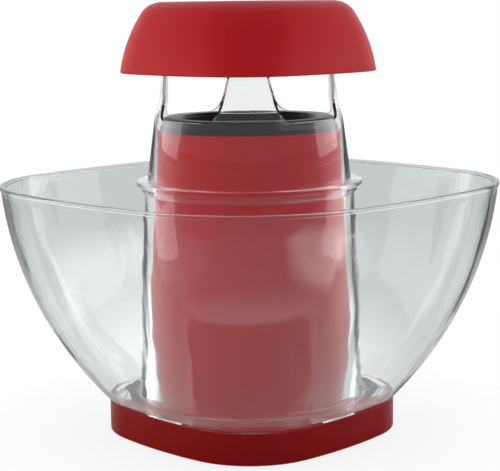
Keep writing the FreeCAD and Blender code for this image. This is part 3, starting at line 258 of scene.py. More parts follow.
class Nodes:
    """Adds nodes to a tree; an input given as a socket is linked, and any other value is set."""

    def __init__(self, tree):
        self.tree = tree

    def add(self, kind, inputs=None, **settings):
        node = self.tree.nodes.new(kind)
        for name, value in settings.items():
            setattr(node, name, value)
        for key, value in (inputs or {}).items():
            self.feed(node.inputs[key], value)
        return node

    def feed(self, socket, value):
        if isinstance(value, bpy.types.NodeSocket):
            self.tree.links.new(value, socket)
        else:
            socket.default_value = value

    def out(self, kind, inputs=None, **settings):
        """The first output of a new node."""
        return self.add(kind, inputs, **settings).outputs[0]

    def math(self, operation, *terms):
        return self.out("ShaderNodeMath", dict(enumerate(terms)), operation=operation)

    def vector(self, operation, *terms, output="Vector"):
        return self.add("ShaderNodeVectorMath", dict(enumerate(terms)), operation=operation).outputs[output]

    def scaled(self, vector, factor):
        return self.out("ShaderNodeVectorMath", {0: vector, "Scale": factor}, operation="SCALE")

    def split(self, vector):
        return self.add("ShaderNodeSeparateXYZ", {"Vector": vector}).outputs

    def polar(self, radius, turn, height=0.0):
        return self.out("ShaderNodeCombineXYZ", {
            "X": self.math("MULTIPLY", radius, self.math("COSINE", turn)),
            "Y": self.math("MULTIPLY", radius, self.math("SINE", turn)), "Z": height})

    def ramp(self, value, span, start=0.0, end=1.0):
        """Runs from start to end as the value goes over the span."""
        return self.out("ShaderNodeMapRange", {
            "Value": value, "From Min": span[0], "From Max": span[1], "To Min": start, "To Max": end})

    def noise(self, spot, scale, detail):
        return self.out("ShaderNodeTexNoise", {"Vector": spot, "Scale": scale, "Detail": detail})

    def colours(self, factor, first, second):
        """The first colour, giving way to the second."""
        mix = self.add("ShaderNodeMix", {"Factor": factor, "A": first, "B": second}, data_type="RGBA")
        return mix.outputs["Result"]

    def shaders(self, factor, first, second):
        return self.out("ShaderNodeMixShader", {0: factor, 1: first, 2: second})

    def bump(self, height, depth):
        """A relief of the given depth in millimetres, as the shader's normal."""
        return self.out("ShaderNodeBump", {"Height": height, "Distance": depth * MM, "Strength": 1.0})

    def spot(self):
        """Where a point lies at rest."""
        return self.add("ShaderNodeTexCoord").outputs["Object"]


def add_sockets(tree, inputs, outputs):
    """Named sockets of a node group, each given as name: socket type."""
    for direction, sockets in (("INPUT", inputs), ("OUTPUT", outputs)):
        for name, kind in sockets.items():
            tree.interface.new_socket(name=name, in_out=direction, socket_type=f"NodeSocket{kind}")


# Shapes

def corner_form():
    """Where a rounded square of half width 1 changes from corner arc to side arc.

    Gives the corner arc's centre on the axis, and the angle from the axis at which the arcs meet.
    """
    along = (SIDE_SHARE - 1) / math.sqrt(2)
    centre = math.sqrt((SIDE_SHARE - CORNER_SHARE) ** 2 - along ** 2) - along
    spread = math.atan2(along, centre + along)
    meeting = math.atan2(CORNER_SHARE * math.sin(spread), centre + CORNER_SHARE * math.cos(spread))
    return centre, meeting


def turned_shell_tree():
    """Sweeps a profile round the axis. Each point runs on a circle, or on the rounded square.

    The profile is the object's own vertices in order: x is the radius or half width and z the height,
    and the attribute squareness says how far the point keeps to the rounded square.
    """
    tree = bpy.data.node_groups.new("turned_shell", "GeometryNodeTree")
    tree.is_modifier = True
    add_sockets(tree, {
        "Profile": "Geometry", "Segments": "Int", "Corner Radius": "Float", "Side Radius": "Float",
        "Corner Centre": "Float", "Meeting Angle": "Float", "Finish": "Material",
    }, {"Shell": "Geometry"})
    nodes = Nodes(tree)
    given = nodes.add("NodeGroupInput").outputs
    profile = given["Profile"]
    count = nodes.out("GeometryNodeAttributeDomainSize", {"Geometry": profile})
    columns = nodes.math("ADD", given["Segments"], 1)
    shell = nodes.out("GeometryNodeMeshGrid", {"Vertices X": columns, "Vertices Y": count})
    index = nodes.out("GeometryNodeInputIndex")
    column = nodes.math("FLOOR", nodes.math("DIVIDE", nodes.math("ADD", index, 0.5), count))
    row = nodes.math("SUBTRACT", index, nodes.math("MULTIPLY", column, count))

    def in_profile(value, kind):
        """What the profile has at this row."""
        return nodes.add("GeometryNodeSampleIndex", {
            "Geometry": profile, "Value": value, "Index": row}, data_type=kind).outputs["Value"]

    place = in_profile(nodes.out("GeometryNodeInputPosition"), "FLOAT_VECTOR")
    squareness = nodes.add("GeometryNodeInputNamedAttribute", {"Name": "squareness"}).outputs["Attribute"]
    squareness = in_profile(squareness, "FLOAT")
    turn = nodes.math("MULTIPLY", nodes.math("DIVIDE", column, given["Segments"]), FULL_TURN)
    reach = rounded_square_reach(nodes, given, turn)
    swell = nodes.math("MULTIPLY_ADD", nodes.math("SUBTRACT", reach, 1.0), squareness, 1.0)
    apart = nodes.split(place)
    radius = nodes.math("MULTIPLY", apart["X"], swell)
    spot = nodes.polar(radius, turn, apart["Z"])
    shell = nodes.out("GeometryNodeSetPosition", {"Geometry": shell, "Position": spot})
    shell = nodes.out("GeometryNodeMergeByDistance", {"Geometry": shell, "Distance": SEAM_GAP * MM})
    shell = nodes.out("GeometryNodeSetShadeSmooth", {"Geometry": shell})
    shell = nodes.out("GeometryNodeSetMaterial", {"Geometry": shell, "Material": given["Finish"]})
    nodes.add("NodeGroupOutput", {"Shell": shell})
    return tree


def rounded_square_reach(nodes, given, turn):
    """Distance from the axis to the rounded square of half width 1, at an angle."""
    from_corner = nodes.math("FLOORED_MODULO", nodes.math("ADD", turn, EIGHTH_TURN), QUARTER_TURN)
    from_corner = nodes.math("ABSOLUTE", nodes.math("SUBTRACT", from_corner, EIGHTH_TURN))
    from_side = nodes.math("SUBTRACT", EIGHTH_TURN, from_corner)
    centre = given["Corner Centre"]
    back = nodes.math("SUBTRACT", given["Side Radius"], 1.0)

    def half_chord(radius, offset, angle):
        """Half of what an arc's circle cuts off a ray from the axis, at an angle to the circle's centre."""
        lift = nodes.math("MULTIPLY", offset, nodes.math("SINE", angle))
        rest = nodes.math("SUBTRACT", nodes.math("POWER", radius, 2), nodes.math("POWER", lift, 2))
        return nodes.math("SQRT", rest)

    corner = half_chord(given["Corner Radius"], centre, from_corner)
    corner = nodes.math("MULTIPLY_ADD", centre, nodes.math("COSINE", from_corner), corner)
    side = half_chord(given["Side Radius"], back, from_side)
    side = nodes.math("SUBTRACT", side, nodes.math("MULTIPLY", back, nodes.math("COSINE", from_side)))
    on_corner = nodes.math("LESS_THAN", from_corner, given["Meeting Angle"])
    return nodes.math("MULTIPLY_ADD", nodes.math("SUBTRACT", corner, side), on_corner, side)


def set_inputs(modifier, **values):
    """Sets a tree's inputs on a modifier by their sockets' identifiers; spaces are written as _."""
    for item in modifier.node_group.interface.items_tree:
        key = item.name.lower().replace(" ", "_")
        if item.in_out == "INPUT" and key in values:
            modifier[item.identifier] = values[key]


def new_object(name, mesh):
    thing = bpy.data.objects.new(name, mesh)
    bpy.context.scene.collection.objects.link(thing)
    return thing


def bake(thing):
    """Turns an object's modifiers into a plain mesh whose faces point outwards."""
    shaped = thing.evaluated_get(bpy.context.evaluated_depsgraph_get())
    mesh = bpy.data.meshes.new_from_object(shaped)
    thing.modifiers.clear()
    rough = thing.data
    thing.data = mesh
    bpy.data.meshes.remove(rough)
    mesh.name = thing.name
    face_outwards(mesh)


def face_outwards(mesh):
    work = bmesh.new()
    work.from_mesh(mesh)
    bmesh.ops.remove_doubles(work, verts=work.verts, dist=WELD_GAP * MM)
    bmesh.ops.recalc_face_normals(work, faces=work.faces)
    work.to_mesh(mesh)
    work.free()


def arc(centre, radius, first, last, steps):
    """Points on an arc in the section, from one angle to another."""
    for step in range(steps + 1):
        angle = first + (last - first) * step / steps
        yield centre[0] + radius * math.cos(angle), centre[1] + radius * math.sin(angle)


def rounded(corners, steps=5, support=0.3):
    """Rounds the corners of a section, each given as (x, z, rounding radius, what it carries).

    A point is added just past each end of a rounding, so that it doesn't shade the flat run beside it.
    """
    points = []
    for index, (x, z, radius, carried) in enumerate(corners):
        point = Vector((x, z))
        if radius == 0 or index in (0, len(corners) - 1):
            points.append((x, z, carried))
            continue
        before = Vector(corners[index - 1][:2]) - point
        after = Vector(corners[index + 1][:2]) - point
        half = before.angle(after) / 2
        reach = radius / math.tan(half)
        supported = reach + support < min(before.length, after.length) / 2
        before.normalize()
        after.normalize()
        middle = (before + after).normalized() * (radius / math.sin(half))
        start = before * reach - middle
        end = after * reach - middle
        if supported:
            points.append((*(point + before * (reach + support)), carried))
        for step in range(steps + 1):
            spoke = start.slerp(end, step / steps) * radius
            points.append((*(point + middle + spoke), carried))
        if supported:
            points.append((*(point + after * (reach + support)), carried))
    return points


def turned_piece(name, section, finish, segments=SHELL_SEGMENTS):
    """A shell turned from a section of (half width or radius, height, squareness), in millimetres."""
    mesh = bpy.data.meshes.new(name)
    mesh.from_pydata([(x * MM, 0, z * MM) for x, z, _ in section], [], [])
    squareness = mesh.attributes.new("squareness", "FLOAT", "POINT")
    squareness.data.foreach_set("value", [square for _, _, square in section])
    piece = new_object(name, mesh)
    centre, meeting = corner_form()
    modifier = piece.modifiers.new("turned_shell", "NODES")
    modifier.node_group = turned_shell
    set_inputs(modifier, segments=segments, corner_radius=CORNER_SHARE, side_radius=SIDE_SHARE,
               corner_centre=centre, meeting_angle=meeting, finish=finish)
    bake(piece)
    return piece


def turned_mesh(name, section, finish, segments):
    """A turned piece as a plain mesh, for setting in a ring."""
    piece = turned_piece(name, section, finish, segments)
    mesh = piece.data
    bpy.data.objects.remove(piece)
    return mesh


def level(node, end):
    """Height of a CAD node's underside (end 0) or top (end 1), in millimetres."""
    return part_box(node)[end].z / MM


def bowl_wall(inset, bottom, top):
    """The bowl's side section from bottom to top: one arc, moved in by inset."""
    foot = Vector((BOWL_FOOT, level("bowl", 0)))
    rim = Vector((BOWL_RIM, level("bowl", 1)))
    chord = rim - foot
    depth = math.sqrt(BOWL_WALL_RADIUS ** 2 - chord.length_squared / 4)
    centre = (foot + rim) / 2 + Vector((-chord.y, chord.x)).normalized() * depth
    radius = BOWL_WALL_RADIUS - inset
    first = math.asin((bottom - centre.y) / radius)
    last = math.asin((top - centre.y) / radius)
    return list(arc(centre, radius, first, last, WALL_STEPS))


def make_bowl(finish):
    """Clear bowl in one piece: flared wall with a beaded rim, flat floor, and the tube round the tower."""
    foot = level("bowl", 0)
    rim = level("bowl", 1)
    floor = foot + BOWL_WALL
    tube_top = rim - TUBE_DROP
    bead_out, bead_height = BOWL_BEAD
    tube_bead, tube_bead_height = TUBE_BEAD
    outside = bowl_wall(0.0, foot + SEAT_GAP, rim - bead_height)
    inside = bowl_wall(BOWL_WALL, floor, rim)
    corners = [(TUBE_FOOT, foot + SEAT_GAP, 0, ROUND), (*outside[0], SOFT_EDGE, SQUARE)]
    corners += [(x, z, 0, SQUARE) for x, z in outside[1:-1]]
    corners += [
        (*outside[-1], FINE_EDGE, SQUARE),
        (BOWL_RIM + bead_out, rim - bead_height, FINE_EDGE, SQUARE),
        (BOWL_RIM + bead_out, rim, RIM_EDGE, SQUARE),
        (*inside[-1], RIM_EDGE, SQUARE),
    ]
    corners += [(x, z, 0, SQUARE) for x, z in reversed(inside[1:-1])]
    corners += [
        (*inside[0], FLOOR_BEND, SQUARE),
        (TUBE_FOOT + TUBE_WALL, floor, TUBE_BEND, ROUND),
        (TUBE_RIM + TUBE_WALL, tube_top - tube_bead_height, BROAD_EDGE, ROUND),
        (tube_bead, tube_top - tube_bead_height, SOFT_EDGE, ROUND),
        (tube_bead, tube_top, BROAD_EDGE, ROUND),
        (TUBE_RIM, tube_top, SOFT_EDGE, ROUND),
        (TUBE_FOOT, foot + SEAT_GAP, 0, ROUND),
    ]
    return turned_piece("clear_bowl", rounded(corners), finish)


def cap_outline(inset):
    """The cap's section from the axis over the top and down to its edge."""
    bottom = level("cap_shell", 0)
    top = level("cap_shell", 1)
    side = CAP_SIDE_RADIUS - inset
    shoulder = CAP_SHOULDER - inset
    axis_z = bottom - CAP_SIDE_DROP
    axis_x = CAP_HALF_WIDTH - math.sqrt(CAP_SIDE_RADIUS ** 2 - CAP_SIDE_DROP ** 2)
    shoulder_z = top - CAP_SHOULDER
    tilt = math.asin((shoulder_z - axis_z) / (side - shoulder))
    shoulder_x = axis_x + (side - shoulder) * math.cos(tilt)
    crown = [(shoulder_x * share, top - inset) for share in CROWN_SHARES]
    bend = arc((shoulder_x, shoulder_z), shoulder, QUARTER_TURN, tilt, SHOULDER_STEPS)
    flank = arc((axis_x, axis_z), side, tilt, math.asin(CAP_SIDE_DROP / side), FLANK_STEPS)
    return crown + list(bend) + list(flank)[1:]


def make_cap(finish):
    """Cap shell: a rounded-square dish upside down, with a softened lower edge."""
    outside = cap_outline(0.0)
    inside = cap_outline(CAP_WALL)
    corners = [(x, z, 0, SQUARE) for x, z in outside[:-1]]
    corners += [(*outside[-1], BROAD_EDGE, SQUARE), (*inside[-1], SOFT_EDGE, SQUARE)]
    corners += [(x, z, 0, SQUARE) for x, z in reversed(inside[:-1])]
    cap = turned_piece("cap_cover", rounded(corners), finish)
    add_cap_bosses(cap, finish)
    return cap


def add_cap_bosses(cap, finish):
    """Joins the four posts that the cap's screws hold in to its shell."""
    radius, hole, depth = CAP_BOSS
    bottom = level("deflector", 1)
    top = level("cap_shell", 1) - CAP_WALL / 2
    section = rounded([
        (0.0, bottom + depth, 0, ROUND),
        (hole, bottom + depth, 0, ROUND),
        (hole, bottom, HOLE_EDGE, ROUND),
        (radius, bottom, FINE_EDGE, ROUND),
        (radius, top, 0, ROUND),
        (0.0, top, 0, ROUND),
    ], **SMALL_ROUNDING)
    count, circle, first_turn, _, _ = SCREW_RINGS["cap_screws"]
    post = turned_mesh("post", section, finish, POST_SEGMENTS)
    posts = ring_piece("posts", post, count, circle, first_turn, finish)
    work = bmesh.new()
    work.from_mesh(cap.data)
    work.from_mesh(posts.data)
    work.to_mesh(cap.data)
    work.free()
    bpy.data.objects.remove(posts)


def chimney_section():
    """Outside section of the chimney above its flange: skirt, waist at the sill, pillars and top ring."""
    foot = level("chimney", 0) + CHIMNEY_LIP + CHIMNEY_FLANGE
    top = level("chimney", 1)
    sill = level("collar", 1) - SILL_DROP
    window_top = top - CHIMNEY_RING
    return rounded([
        (TOWER_RADIUS + SKIRT_FLARE, foot, 0, None),
        (TOWER_RADIUS + WAIST_FLARE, sill, CHIMNEY_BEND, None),
        (TOWER_RADIUS - WAIST_FLARE, sill + WAIST_RISE, CHIMNEY_BEND, None),
        (TOWER_RADIUS - TOP_TAPER, window_top, 0, None),
        (TOWER_RADIUS - TOP_TAPER, top, 0, None),
    ], BEND_STEPS, support=2.0), sill, window_top


def window_edge(sill, window_top):
    """Right edge of a window from sill to top, as (half width, height)."""
    low_corner, high_corner = WINDOW_CORNERS
    outline = rounded([
        (0.0, sill, 0, None),
        (WINDOW_FOOT, sill, low_corner, None),
        (WINDOW_TOP, window_top, high_corner, None),
        (0.0, window_top, 0, None),
    ], BEND_STEPS, support=0.2)
    edge = [(x, z) for x, z, _ in outline[2:-2]]
    side = BEND_STEPS + 1
    (x0, z0), (x1, z1) = edge[side:side + 2]
    straight = [(x0 + (x1 - x0) * share, z0 + (z1 - z0) * share) for share in SIDE_SHARES]
    return edge[:side + 1] + straight + edge[side + 1:]


def across(points, height):
    """x of a rising run of points (x, z) at a height."""
    for (x0, z0), (x1, z1) in zip(points, points[1:]):
        if height <= z1:
            return x0 + (x1 - x0) * max(height - z0, 0.0) / (z1 - z0)
    return points[-1][0]


def chimney_rows():
    """Closed section of the chimney as rows (radius, height, half width of the window there).

    Also gives the first and last of the outside rows that a window spans, and how many rows stand above
    the flange on each face.
    """
    outside, sill, window_top = chimney_section()
    outside = [(x, z) for x, z, _ in outside]
    edge = window_edge(sill, window_top)
    low_width, low = edge[0]
    high_width, high = edge[-1]
    below = [(x, z, low_width) for x, z in outside if z < low - ROW_GAP]
    beside = [(across(outside, z), z, width) for width, z in edge]
    above = [(x, z, high_width) for x, z in outside if z > high + ROW_GAP]
    upper = below + beside + above
    lip_bottom = level("chimney", 0)
    lip_top = lip_bottom + CHIMNEY_LIP + SEAT_GAP / 2
    lip = TUBE_RIM - LIP_PLAY
    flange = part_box("chimney")[1].x / MM
    rows = [
        (lip - CHIMNEY_WALL, lip_bottom, low_width),
        (lip, lip_bottom, low_width),
        (lip, lip_top, low_width),
        (flange, lip_top, low_width),
        (flange, upper[0][1], low_width),
    ]
    first = len(rows) + len(below)
    last = first + len(beside) - 1
    rows += upper
    rows += [(radius - CHIMNEY_WALL, z, width) for radius, z, width in reversed(upper)]
    return rows, first, last, len(upper)


def chimney_ring(work, radius, height, half_width):
    """Points round the axis at one row: a pillar and a window to each quarter."""
    half_window = math.asin(half_width / radius)
    half_pillar = EIGHTH_TURN - half_window
    ring = []
    for quarter in range(QUARTERS):
        middle = quarter * QUARTER_TURN
        left, right = middle - half_pillar, middle + half_pillar
        turns = [left + 2 * half_pillar * step / PILLAR_STEPS for step in range(PILLAR_STEPS)]
        turns += [right + 2 * half_window * step / WINDOW_STEPS for step in range(WINDOW_STEPS)]
        for turn in turns:
            spot = (radius * math.cos(turn) * MM, radius * math.sin(turn) * MM, height * MM)
            ring.append(work.verts.new(spot))
    return ring


def window_border(quarter, first, last):
    """Row and column of each point round one window's outside edge."""
    left = quarter * QUARTER_STEPS + PILLAR_STEPS
    right = left + WINDOW_STEPS
    border = [(first, column) for column in range(left, right + 1)]
    border += [(row, right) for row in range(first + 1, last + 1)]
    border += [(last, column) for column in range(right - 1, left - 1, -1)]
    border += [(row, left) for row in range(last - 1, first, -1)]
    return [(row, column % (QUARTERS * QUARTER_STEPS)) for row, column in border]


def make_chimney(finish):
    """Clear chimney: the turned section with four windows left open and their edges walled."""
    rows, first, last, rise = chimney_rows()
    top = len(rows) - rise
    opposite = {row: 2 * top - 1 - row for row in range(first, last + 1)}
    open_rows = set(range(first, last)) | {opposite[row] - 1 for row in range(first, last)}
    work = bmesh.new()
    table = [chimney_ring(work, *row) for row in rows]
    columns = QUARTERS * QUARTER_STEPS
    for row, ring in enumerate(table):
        above = table[(row + 1) % len(table)]
        for column in range(columns):
            if row in open_rows and column % QUARTER_STEPS >= PILLAR_STEPS:
                continue
            ahead = (column + 1) % columns
            work.faces.new((ring[column], ring[ahead], above[ahead], above[column]))
    for quarter in range(QUARTERS):
        border = window_border(quarter, first, last)
        for (row, column), (next_row, next_column) in zip(border, border[1:] + border[:1]):
            work.faces.new((table[row][column], table[next_row][next_column],
                            table[opposite[next_row]][next_column], table[opposite[row]][column]))
    mesh = bpy.data.meshes.new("clear_chimney")
    work.to_mesh(mesh)
    work.free()
    mesh.materials.append(finish)
    for face in mesh.polygons:
        face.use_smooth = True
    face_outwards(mesh)
    piece = new_object("clear_chimney", mesh)
    soften = piece.modifiers.new("soften", "BEVEL")
    soften.width = CHIMNEY_EDGE * MM
    soften.segments = EDGE_STEPS
    soften.limit_method = "ANGLE"
    soften.angle_limit = HARD_EDGE
    soften.harden_normals = True
    bake(piece)
    return piece


def ring_tree():
    """Sets equal pieces round the axis, each turned to face outwards. The piece is the object's own mesh."""
    tree = bpy.data.node_groups.new("ring_of_pieces", "GeometryNodeTree")
    tree.is_modifier = True
    add_sockets(tree, {
        "Piece": "Geometry", "Count": "Int", "Circle Radius": "Float", "First Turn": "Float",
        "Finish": "Material",
    }, {"Ring": "Geometry"})
    nodes = Nodes(tree)
    given = nodes.add("NodeGroupInput").outputs
    index = nodes.out("GeometryNodeInputIndex")
    step = nodes.math("DIVIDE", FULL_TURN, given["Count"])
    turn = nodes.math("MULTIPLY_ADD", index, step, given["First Turn"])
    spot = nodes.polar(given["Circle Radius"], turn)
    points = nodes.out("GeometryNodePoints", {"Count": given["Count"], "Position": spot})
    facing = nodes.out("ShaderNodeCombineXYZ", {"Z": turn})
    ring = nodes.out("GeometryNodeInstanceOnPoints", {
        "Points": points, "Instance": given["Piece"], "Rotation": facing})
    ring = nodes.out("GeometryNodeRealizeInstances", {"Geometry": ring})
    ring = nodes.out("GeometryNodeSetMaterial", {"Geometry": ring, "Material": given["Finish"]})
    nodes.add("NodeGroupOutput", {"Ring": ring})
    return tree


def ring_piece(name, mesh, count, circle, first_turn, finish):
    """Copies of one small mesh round the axis, as one piece."""
    piece = new_object(name, mesh)
    modifier = piece.modifiers.new("ring_of_pieces", "NODES")
    modifier.node_group = ring_of_pieces
    set_inputs(modifier, count=count, circle_radius=circle * MM, first_turn=first_turn, finish=finish)
    bake(piece)
    return piece


def cross_outline(share):
    """Points round a cross recess: two at each arm's end and one in each inner corner."""
    reach = CROSS_REACH * share
    half = CROSS_HALF_WIDTH * share
    for arm in range(QUARTERS):
        turn = Matrix.Rotation(arm * QUARTER_TURN, 2)
        for point in ((reach, -half), (reach, half), (half, half)):
            yield turn @ Vector(point)


def head_turns():
    """Angles of the points round a screw's head: to each quarter, two that face an arm's end and the rest."""
    step = 2 * (EIGHTH_TURN - RIM_SPREAD) / (RIM_POINTS - 1)
    for quarter in range(QUARTERS):
        start = quarter * QUARTER_TURN
        yield start - RIM_SPREAD
        for count in range(RIM_POINTS - 1):
            yield start + RIM_SPREAD + count * step


def screw_mesh(bottom, top, head_down):
    """One pan-head screw with a cross recess, standing on the axis."""
    head_radius, head_height = SCREW_HEAD
    length = top - bottom - head_height
    section = [
        (SCREW_SHANK * SCREW_TIP, -length),
        (SCREW_SHANK, SCREW_SHANK - length),
        (SCREW_SHANK, 0.0),
        (head_radius, 0.0),
    ]
    section += [(head_radius * wide, head_height * high) for wide, high in HEAD_DOME]
    flip = Matrix.Rotation(math.pi if head_down else 0.0, 4, "X")
    place = Matrix.Translation((0, 0, bottom + head_height if head_down else top - head_height)) @ flip
    work = bmesh.new()

    def vertex(x, y, z):
        return work.verts.new(place @ Vector((x, y, z)) * MM)

    turns = list(head_turns())
    rings = []
    for radius, z in section:
        rings.append([vertex(radius * math.cos(turn), radius * math.sin(turn), z) for turn in turns])
    work.faces.new(reversed(rings[0]))
    for low, high in zip(rings, rings[1:]):
        for index in range(len(turns)):
            ahead = (index + 1) % len(turns)
            work.faces.new((low[index], low[ahead], high[ahead], high[index]))
    upper = [vertex(*point, head_height) for point in cross_outline(1.0)]
    lower = [vertex(*point, head_height - CROSS_DEPTH) for point in cross_outline(CROSS_TAPER)]
    rim = rings[-1] + rings[-1][:1]
    for arm in range(QUARTERS):
        start = arm * RIM_POINTS
        for corner, (first, last) in enumerate(RIM_SPANS):
            here = arm * ARM_POINTS + corner
            ahead = (here + 1) % len(upper)
            work.faces.new(rim[start + first:start + last + 1] + [upper[ahead], upper[here]])
    for here in range(len(upper)):
        ahead = (here + 1) % len(upper)
        work.faces.new((upper[here], upper[ahead], lower[ahead], lower[here]))
    work.faces.new(lower)
    return smooth_mesh("screw", work)


def smooth_mesh(name, work):
    """Ends a mesh's making: smooth faces, with edges left sharp where the surface turns hard."""
    mesh = bpy.data.meshes.new(name)
    bmesh.ops.recalc_face_normals(work, faces=work.faces)
    work.to_mesh(mesh)
    work.free()
    for face in mesh.polygons:
        face.use_smooth = True
    mesh.set_sharp_from_angle(angle=SHARP_EDGE)
    return mesh


def foot_mesh(finish):
    """One rubber foot: a pad with rounded edges and a suction dimple, and the stem that holds it."""
    dimple, depth = FOOT_DIMPLE
    stem_top = level("rubber_feet", 1)
    section = rounded([
        (0.0, depth, 0, ROUND),
        (dimple, depth, FINE_EDGE, ROUND),
        (dimple + depth, 0.0, STEM_EDGE, ROUND),
        (FOOT_RADIUS, 0.0, PAD_EDGE, ROUND),
        (FOOT_RADIUS, FOOT_HEIGHT, STEM_EDGE, ROUND),
        (FOOT_STEM, FOOT_HEIGHT, 0, ROUND),
        (FOOT_STEM, stem_top, STEM_EDGE, ROUND),
        (0.0, stem_top, 0, ROUND),
    ], **SMALL_ROUNDING)
    return turned_mesh("foot", section, finish, FOOT_SEGMENTS)


def make_rocker_marks(finish):
    """The printed bar and ring on the rocker: the ring on the side that is pressed in when it is off."""
    work = bmesh.new()
    frame_of_rocker = Matrix.Translation(ROCKER_PIVOT) @ Matrix.Rotation(ROCKER_TURN, 4, "Z")

    def strip(inner, outer):
        """Faces between two outlines of (distance to one side, height) on the rocker's dipped face."""
        rows = []
        for outline in (inner, outer):
            row = []
            for aside, up in outline:
                out = ROCKER_DIP + ROCKER_SLOPE * abs(aside) + MARK_LIFT
                row.append(work.verts.new(frame_of_rocker @ Vector((out, aside, up)) * MM))
            rows.append(row)
        for index in range(len(inner) - 1):
            work.faces.new((rows[0][index], rows[0][index + 1], rows[1][index + 1], rows[1][index]))

    left = MARK_OFFSET - MARK_STROKE / 2
    right = MARK_OFFSET + MARK_STROKE / 2
    strip(*[[(side, -MARK_HALF_HEIGHT), (side, MARK_HALF_HEIGHT)] for side in (left, right)])
    radii = (MARK_HALF_HEIGHT - MARK_STROKE, MARK_HALF_HEIGHT)
    strip(*[list(arc((-MARK_OFFSET, 0.0), radius, 0.0, FULL_TURN, RING_STEPS)) for radius in radii])
    outwards = frame_of_rocker.to_3x3() @ Vector((1, 0, 0))
    work.normal_update()
    for face in work.faces:
        if face.normal.dot(outwards) < 0:
            face.normal_flip()
    mesh = bpy.data.meshes.new("rocker_marks")
    bmesh.ops.remove_doubles(work, verts=work.verts, dist=WELD_GAP * MM)
    work.to_mesh(mesh)
    work.free()
    mesh.materials.append(finish)
    marks = new_object("rocker_marks", mesh)
    ink = marks.modifiers.new("ink", "SOLIDIFY")
    ink.thickness = MARK_DEPTH * MM
    ink.offset = -1.0
    bake(marks)
    return marks


# Finishes

def surface_group(name, **inputs):
    """A group that turns its inputs into a surface's colour, roughness and height."""
    tree = bpy.data.node_groups.new(name, "ShaderNodeTree")
    kinds = {key.replace("_", " "): kind for key, kind in inputs.items()}
    add_sockets(tree, {"Colour": "Color", "Polish": "Float", **kinds},
                {"Colour": "Color", "Roughness": "Float", "Height": "Float"})
    nodes = Nodes(tree)
    return tree, nodes, nodes.add("NodeGroupInput").outputs


def moulded_grain_group():
    """Fine orange-peel of a moulded skin, and the slow drift in its tone and polish."""
    tree, nodes, given = surface_group("moulded_grain", Grain_Size="Float", Drift="Float")
    spot = nodes.spot()
    grain = nodes.noise(spot, nodes.math("DIVIDE", 1 / MM, given["Grain Size"]), 2.0)
    slow = nodes.noise(spot, DRIFT_SCALE, 3.0)
    swing = nodes.math("MULTIPLY", nodes.math("SUBTRACT", slow, 0.5), given["Drift"])
    colour = nodes.scaled(given["Colour"], nodes.math("MULTIPLY_ADD", swing, DRIFT_TONE, 1.0))
    rough = nodes.math("MULTIPLY_ADD", swing, DRIFT_POLISH, given["Polish"])
    rough = nodes.math("MULTIPLY_ADD", nodes.math("SUBTRACT", grain, 0.5), GRAIN_POLISH, rough)
    nodes.add("NodeGroupOutput", {"Colour": colour, "Roughness": rough, "Height": grain})
    return tree


def metal_lines_group():
    """Lines left by drawing or turning: long along the surface, and fine across it."""
    tree, nodes, given = surface_group("metal_lines", Line_Size="Float", Stretch="Vector", Depth="Float")
    spot = nodes.spot()
    drawn = nodes.vector("MULTIPLY", spot, given["Stretch"])
    lines = nodes.noise(drawn, nodes.math("DIVIDE", 1 / MM, given["Line Size"]), 3.0)
    cloud = nodes.noise(spot, CLOUD_SCALE, 2.0)
    swing = nodes.math("MULTIPLY", nodes.math("SUBTRACT", lines, 0.5), given["Depth"])
    swing = nodes.math("MULTIPLY_ADD", nodes.math("SUBTRACT", cloud, 0.5), CLOUD_TONE, swing)
    colour = nodes.scaled(given["Colour"], nodes.math("ADD", swing, 1.0))
    rough = nodes.math("ADD", given["Polish"], swing)
    nodes.add("NodeGroupOutput", {"Colour": colour, "Roughness": rough, "Height": lines})
    return tree


def new_finish(name, **values):
    """A material with one Principled shader, whose plain values are set by name; spaces are written as _."""
    finish = bpy.data.materials.new(name)
    finish.use_nodes = True
    shader = finish.node_tree.nodes["Principled BSDF"]
    for key, value in values.items():
        shader.inputs[key.replace("_", " ")].default_value = value
    return finish, Nodes(finish.node_tree), shader


def surface(finish_parts, group, bump, **values):
    """Feeds a shader from a surface group: colour, roughness, and a bump of the given depth."""
    finish, nodes, shader = finish_parts
    skin = nodes.add("ShaderNodeGroup", node_tree=group)
    for key, value in values.items():
        nodes.feed(skin.inputs[key.replace("_", " ")], value)
    nodes.feed(shader.inputs["Base Color"], skin.outputs["Colour"])
    nodes.feed(shader.inputs["Roughness"], skin.outputs["Roughness"])
    nodes.feed(shader.inputs["Normal"], nodes.bump(skin.outputs["Height"], bump))
    return finish


def metal(name, colour, polish, line_size, direction, depth):
    return surface(new_finish(name, Metallic=1.0), metal_lines, LINE_DEPTH, Colour=paint(*colour),
                   Polish=polish, Line_Size=line_size, Stretch=direction, Depth=depth)


def moulding(name, colour, polish, grain_size, bump, drift, **values):
    return surface(new_finish(name, **values), moulded_grain, bump, Colour=paint(*colour),
                   Polish=polish, Grain_Size=grain_size, Drift=drift)


def red_satin(name, colour):
    """Cap and tower: red moulding with a soft satin skin."""
    return moulding(name, colour, polish=0.42, grain_size=0.7, bump=0.012, drift=0.05,
                    Specular_IOR_Level=0.18)


def red_gloss():
    """Base: polished red, darker on its sides than on the deck that the bowl stands on: painted shade on the
    sides and painted light on the deck.
    """
    parts = new_finish("red_gloss", Specular_IOR_Level=0.15)
    nodes = parts[1]
    edge = (level("bowl", 0) - DECK_EDGE) * MM
    deck = nodes.ramp(nodes.split(nodes.spot())["Z"], (edge, edge + DECK_EDGE * MM))
    # painted light: the deck is given a lighter red than the sides
    colour = nodes.colours(deck, paint(*SHADED_SIDE_RED), paint(*LIT_DECK_RED))
    return surface(parts, moulded_grain, bump=0.006, Colour=colour, Polish=0.24, Grain_Size=1.4, Drift=0.05)


